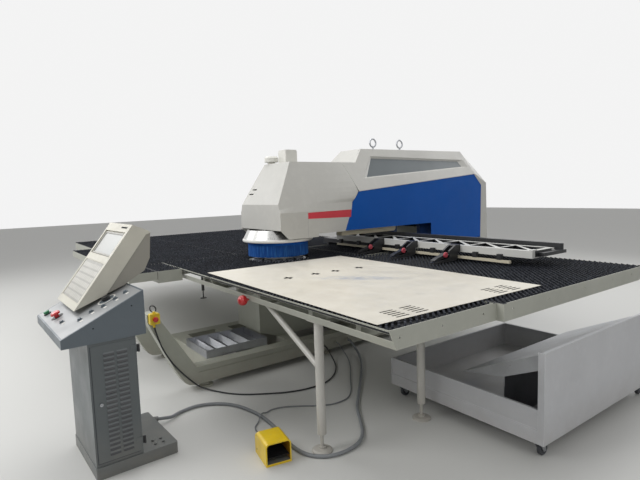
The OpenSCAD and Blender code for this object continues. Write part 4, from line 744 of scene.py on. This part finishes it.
def bed_blocks(areas):
    """The dark bed under the bristles, with a square gap round the tools."""
    inset, gap, z0, z1 = 0.005, 0.302, BRUSH_DECK, BRUSH_DECK + 0.005
    blocks = []
    for x0, x1, y0, y1 in areas:
        left, right, front, rear = x0 + inset, x1 - inset, y0 + inset, y1 - inset
        if x0 < 0 < x1 and y0 < 0 < y1:
            blocks += [block((left, front, z0), (right, -gap, z1)),
                       block((left, gap, z0), (right, y1, z1)),
                       block((left, -gap, z0), (-gap, gap, z1)),
                       block((gap, -gap, z0), (right, gap, z1))]
        else:
            blocks.append(block((left, front, z0), (right, rear, z1)))
    return blocks


def add_brush_fields():
    rnd = random.Random(7)
    for name, areas in FIELDS.items():
        add_tufts(name, areas, rnd)
        piece(name + "_brush_bed", *join(bed_blocks(areas)), "bed", slot="brush")


add_brush_fields()


def add_skirt():
    """Two rings of blue bristle bundles hanging from a holder."""
    rnd = random.Random(3)
    tip_z, head_z, bundle_r = 0.974, 1.093, 0.0066
    bundles = []
    for radius, count in ((0.3030, 140), (0.2892, 134)):
        for k in range(count):
            a = 2 * math.pi * (k + rnd.uniform(-0.15, 0.15)) / count
            out = Vector((math.cos(a), math.sin(a), 0))
            foot = out * (radius + rnd.uniform(-0.001, 0.0008))
            foot.z = tip_z + rnd.uniform(0, 0.003)
            head = out * (radius - 0.001)
            head.z = head_z + 0.001
            bundles.append(tube([foot, foot.lerp(head, 0.5), head],
                                [bundle_r, bundle_r * 0.95, bundle_r * 0.8], 6))
    o = piece("blue_bristles", *join(bundles), "blue_brush", slot="blue_brush")
    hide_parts("brush_skirt")
    inner, lip, neck, low_z, top_z = 0.2825, 0.309, 0.302, 1.090, 1.118
    holder = turned([(inner, low_z), (lip, low_z), (lip, low_z + 0.006), (neck, low_z + 0.009),
                     (neck, top_z), (inner, top_z)], sides=96)
    piece("bristle_holder", *holder, "blue", slot="blue_brush")


add_skirt()

# Press body trim


def side_strip(outline, x):
    """A thin film on the right and left covers, from (y, z) points."""
    film_t, n = 0.0006, len(outline)
    films = []
    for side in (1, -1):
        v = [Vector((side * x, y, z)) for y, z in outline]
        v += [Vector((side * (x + film_t), y, z)) for y, z in outline]
        f = [tuple(range(n)), tuple(range(2 * n - 1, n - 1, -1))]
        f += [(i, (i + 1) % n, n + (i + 1) % n, n + i) for i in range(n)]
        if side > 0:
            f = [tuple(reversed(face)) for face in f]
        films.append((v, f))
    return join(films)


STRIPE = [(0.113, 1.340), (0.656, 1.330), (0.664, 1.4075), (0.113, 1.4)]
piece("side_stripes", *side_strip(STRIPE, COVER_X), "stripe", slot="cover")

# Console trim: the frames of the console, of the housing's sloped front and of the desk
HOUSING_FRONT_AT, HOUSING_FRONT_SLOPE = (-0.736, -0.001, 0.942), 52.74
CONSOLE = move(*CONSOLE_AT) @ turn(CONSOLE_TURN, "Z")
FRONT = CONSOLE @ move(*HOUSING_FRONT_AT) @ turn(HOUSING_FRONT_SLOPE, "X")
DESK_SLOPE, DESK_FRONT_MM, DESK_FRONT_Z_MM = 24.9, -127, 849


def desk(x, y):
    """A place on the sloping desk, x across and y along it in millimetres."""
    z = DESK_FRONT_Z_MM + (y - DESK_FRONT_MM) * math.tan(math.radians(DESK_SLOPE))
    return CONSOLE @ move(-x / 1000, y / 1000, z / 1000) @ turn(DESK_SLOPE, "X")


SWITCHES = [(301, -61), (148, 6), (166, 74), (133, 135), (137, 205), (144, 267)]
DIAL, STOP_BUTTON, START_BUTTON = (214, 176), (466, -57), (653, -81)


def slab(lo, hi, z, m):
    """A block over the rectangle from lo to hi, between the two heights in z, placed by m."""
    return block((*lo, z[0]), (*hi, z[1]), m)


def outline_bars(lo, hi, width, z, m):
    """Four bars just inside a rectangle's edges, between the two heights in z."""
    (x0, y0), (x1, y1) = lo, hi
    return [slab((x0, y0), (x1, y0 + width), z, m), slab((x0, y1 - width), (x1, y1), z, m),
            slab((x0, y0), (x0 + width, y1), z, m), slab((x1 - width, y0), (x1, y1), z, m)]


def flat_ring(inner, outer, top_outer, z0, z1, m):
    """A flat ring whose outer edge narrows to top_outer."""
    return turned([(inner, z0), (outer, z0), (top_outer, z1), (inner, z1)], m, 48)


def add_housing_trim():
    """Membrane keys, screen and a blank strip on the housing's sloped front."""
    columns, rows, pitch_x, pitch_y = 11, 6, 0.0365, 0.042
    keys_x, keys_y, key_w, key_h, key_z = 0.022, 0.062, 0.028, 0.030, (-0.004, -0.0022)
    plate_lo, plate_hi, plate_z = (0.003, 0.048), (0.437, 0.322), (-0.0045, -0.003)
    bezel_lo, bezel_hi, bezel_z, bezel_w = (0.005, 0.376), (0.435, 0.549), (-0.0122, -0.006), 0.014
    screen_lo, screen_hi, screen_z = (0.015, 0.386), (0.425, 0.539), (-0.0122, -0.0105)
    strip_lo, strip_hi, strip_z = (0.300, 0.582), (0.420, 0.594), (-0.0005, 0.0006)
    corners = [(keys_x + i * pitch_x, keys_y + j * pitch_y)
               for i in range(columns) for j in range(rows)]
    keys = [slab((x, y), (x + key_w, y + key_h), key_z, FRONT) for x, y in corners]
    bevelled(piece("keypad_keys", *join(keys), "key", "housing", "beige"), 0.0012)
    bevelled(piece("keypad_plate", *slab(plate_lo, plate_hi, plate_z, FRONT), "membrane",
                   "housing", "beige"), 0.001)
    bezel = outline_bars(bezel_lo, bezel_hi, bezel_w, bezel_z, FRONT)
    bevelled(piece("screen_bezel", *join(bezel), "membrane", "housing", "beige"), 0.002)
    piece("screen", *slab(screen_lo, screen_hi, screen_z, FRONT), "glass", "housing", "beige")
    bevelled(piece("blank_strip", *slab(strip_lo, strip_hi, strip_z, FRONT), "bed", "housing",
                   "beige"), 0.0005)


def add_desk_trim():
    """Panel film, rings round the dial and buttons, and a bare tag beside each switch."""
    film_lo, film_hi, film_z = (-0.753, 0.010), (-0.012, 0.490), (-0.0004, 0.0008)
    tag_lo, tag_hi, tag_z = (0.020, -0.009), (0.044, 0.009), (0.0006, 0.0016)
    stem_hole, dial_hole = 0.0145, 0.047
    bevelled(piece("desk_panel", *slab(film_lo, film_hi, film_z, desk(0, DESK_FRONT_MM)), "panel",
                   slot="console_grey"), 0.0004)
    piece("dial_bezel", *flat_ring(dial_hole, 0.056, 0.056, 0.003, 0.0045, desk(*DIAL)), "white",
          slot="console_grey")
    piece("stop_collar", *flat_ring(stem_hole, 0.036, 0.036, 0, 0.002, desk(*STOP_BUTTON)),
          "black_plastic", slot="console_grey")
    piece("start_collar", *flat_ring(stem_hole, 0.024, 0.022, 0, 0.006, desk(*START_BUTTON)),
          "black_plastic", slot="console_grey")
    tags = [slab(tag_lo, tag_hi, tag_z, desk(x, y)) for x, y in SWITCHES]
    bevelled(piece("switch_tags", *join(tags), "white", slot="console_grey"), 0.0004)


def add_cabinet_trim():
    """Dark seal round the door, its bright lock, and screws in the desk's side."""
    face_x, proud_x, width = -0.0085, -0.0101, 0.0035
    y0, y1, z0, z1 = 0.0140, 0.2520, 0.0880, 0.7770
    seal = [block((proud_x, y0, z0), (face_x, y0 + width, z1), CONSOLE),
            block((proud_x, y1 - width, z0), (face_x, y1, z1), CONSOLE),
            block((proud_x, y0, z0), (face_x, y1, z0 + width), CONSOLE),
            block((proud_x, y0, z1 - width), (face_x, y1, z1), CONSOLE)]
    bevelled(piece("door_seal", *join(seal), "rubber", slot="console_grey"), 0.0004)
    lock = CONSOLE @ move(-0.002, 0.054, 0.4345) @ turn(90, "Y")
    bevelled(piece("lock_face", *turned([(0.0022, -0.0004), (0.0100, -0.0004), (0.0095, 0.0012),
                                         (0.0022, 0.0006)], lock, 24), "steel", "door",
                   "console_grey"), 0.0002)
    screws = [turned([(0.0001, -0.0004), (0.0045, -0.0004), (0.0038, 0.0014), (0.0001, 0.0018)],
                     CONSOLE @ move(0, y, z) @ turn(90, "Y"), 16)
              for y, z in ((0.040, 0.883), (0.255, 0.977))]
    piece("desk_screws", *join(screws), "bed", slot="console_grey")


add_housing_trim()
add_desk_trim()
add_cabinet_trim()


def add_press_trim():
    """Lever knobs on the sheet clamps and the hook over the stop box."""
    knob_y, knob_z, knob_r, jaw_side, cheek_front = 0.812, 1.009, 0.025, 0.0245, 0.8515
    arm_left, arm_right, arm_low, arm_top = 0.0280, 0.0360, 1.004, 1.013
    knob = [(0.0001, 0), (knob_r, 0), (knob_r, 0.010), (0.021, 0.0145), (0.0001, 0.0155)]
    knobs = [turned(knob, move(x + jaw_side, knob_y, knob_z) @ turn(90, "Y"), 32)
             for x in CLAMPS_X]
    bevelled(piece("clamp_levers", *join(knobs), "lever", "carriage", "red_plastic"), 0.001)
    arms = [block((x + arm_left, knob_y, arm_low), (x + arm_right, cheek_front, arm_top))
            for x in CLAMPS_X]
    bevelled(piece("lever_arms", *join(arms), "steel", "carriage", "bare_steel"), 0.002)
    box_x, box_y, hook_z, hook_r, wire_r = 0.573, -1.482, 0.745, 0.026, 0.0045
    angles = [math.radians(v) for v in range(10, 331, 16)]
    loop = [Vector((box_x, box_y + 0.022 * math.sin(a) - 0.012 * (1 - math.cos(a)) / 2,
                    hook_z - hook_r * math.cos(a))) for a in angles]
    piece("stop_box_hook", *tube(loop, [wire_r] * len(loop), 8), "black_plastic", slot="yellow",
          smooth=True)


add_press_trim()

# Studio


# name, place, power in watts and size in metres
LAMPS = [("key", (-0.5, -6.5, 5.5), 260, 4.0), ("top", (-1.0, 0.5, 6.0), 170, 6.0),
         ("right", (6.0, -1.5, 4.0), 50, 4.0), ("left", (-6.0, -4.0, 4.5), 110, 4.0),
         ("back", (1.0, 7.0, 4.5), 110, 4.0)]
LAMPS_AIM = (0, 0.4, 0.9)


def add_floor():
    bpy.ops.mesh.primitive_plane_add(size=60, location=(0, 0, 0))
    floor = bpy.context.object
    floor.name = "floor"
    m = Mat("studio_floor", (205, 205, 202), 0.6)
    m.bump(m.noise(3, 2), 0.02, 0.002)
    floor.data.materials.append(m.done())


def add_world():
    """Dim light from all round; camera, reflections and glass see a brighter backdrop."""
    world = bpy.data.worlds.new("world")
    scene.world = world
    world.use_nodes = True
    t = world.node_tree
    light = t.nodes["Background"]
    light.inputs["Color"].default_value = (1, 1, 1, 1)
    light.inputs["Strength"].default_value = 0.36
    backdrop = t.nodes.new("ShaderNodeBackground")
    backdrop.inputs["Color"].default_value = (0.90, 0.90, 0.90, 1)
    path = t.nodes.new("ShaderNodeLightPath")
    mixer = t.nodes.new("ShaderNodeMixShader")
    seen = path.outputs["Is Camera Ray"]
    for kind in ("Is Glossy Ray", "Is Transmission Ray"):
        either = t.nodes.new("ShaderNodeMath")
        either.operation = "MAXIMUM"
        t.links.new(seen, either.inputs[0])
        t.links.new(path.outputs[kind], either.inputs[1])
        seen = either.outputs[0]
    t.links.new(seen, mixer.inputs[0])
    t.links.new(light.outputs[0], mixer.inputs[1])
    t.links.new(backdrop.outputs[0], mixer.inputs[2])
    t.links.new(mixer.outputs[0], t.nodes["World Output"].inputs[0])


def add_lamps():
    for name, at, power, size in LAMPS:
        data = bpy.data.lights.new(name, "AREA")
        data.shape = "DISK"
        data.size = size
        data.energy = power
        lamp = bpy.data.objects.new(name, data)
        lamp.location = at
        aim = Vector(LAMPS_AIM) - Vector(at)
        lamp.rotation_euler = aim.to_track_quat("-Z", "Y").to_euler()
        scene.collection.objects.link(lamp)


add_floor()
add_world()
add_lamps()
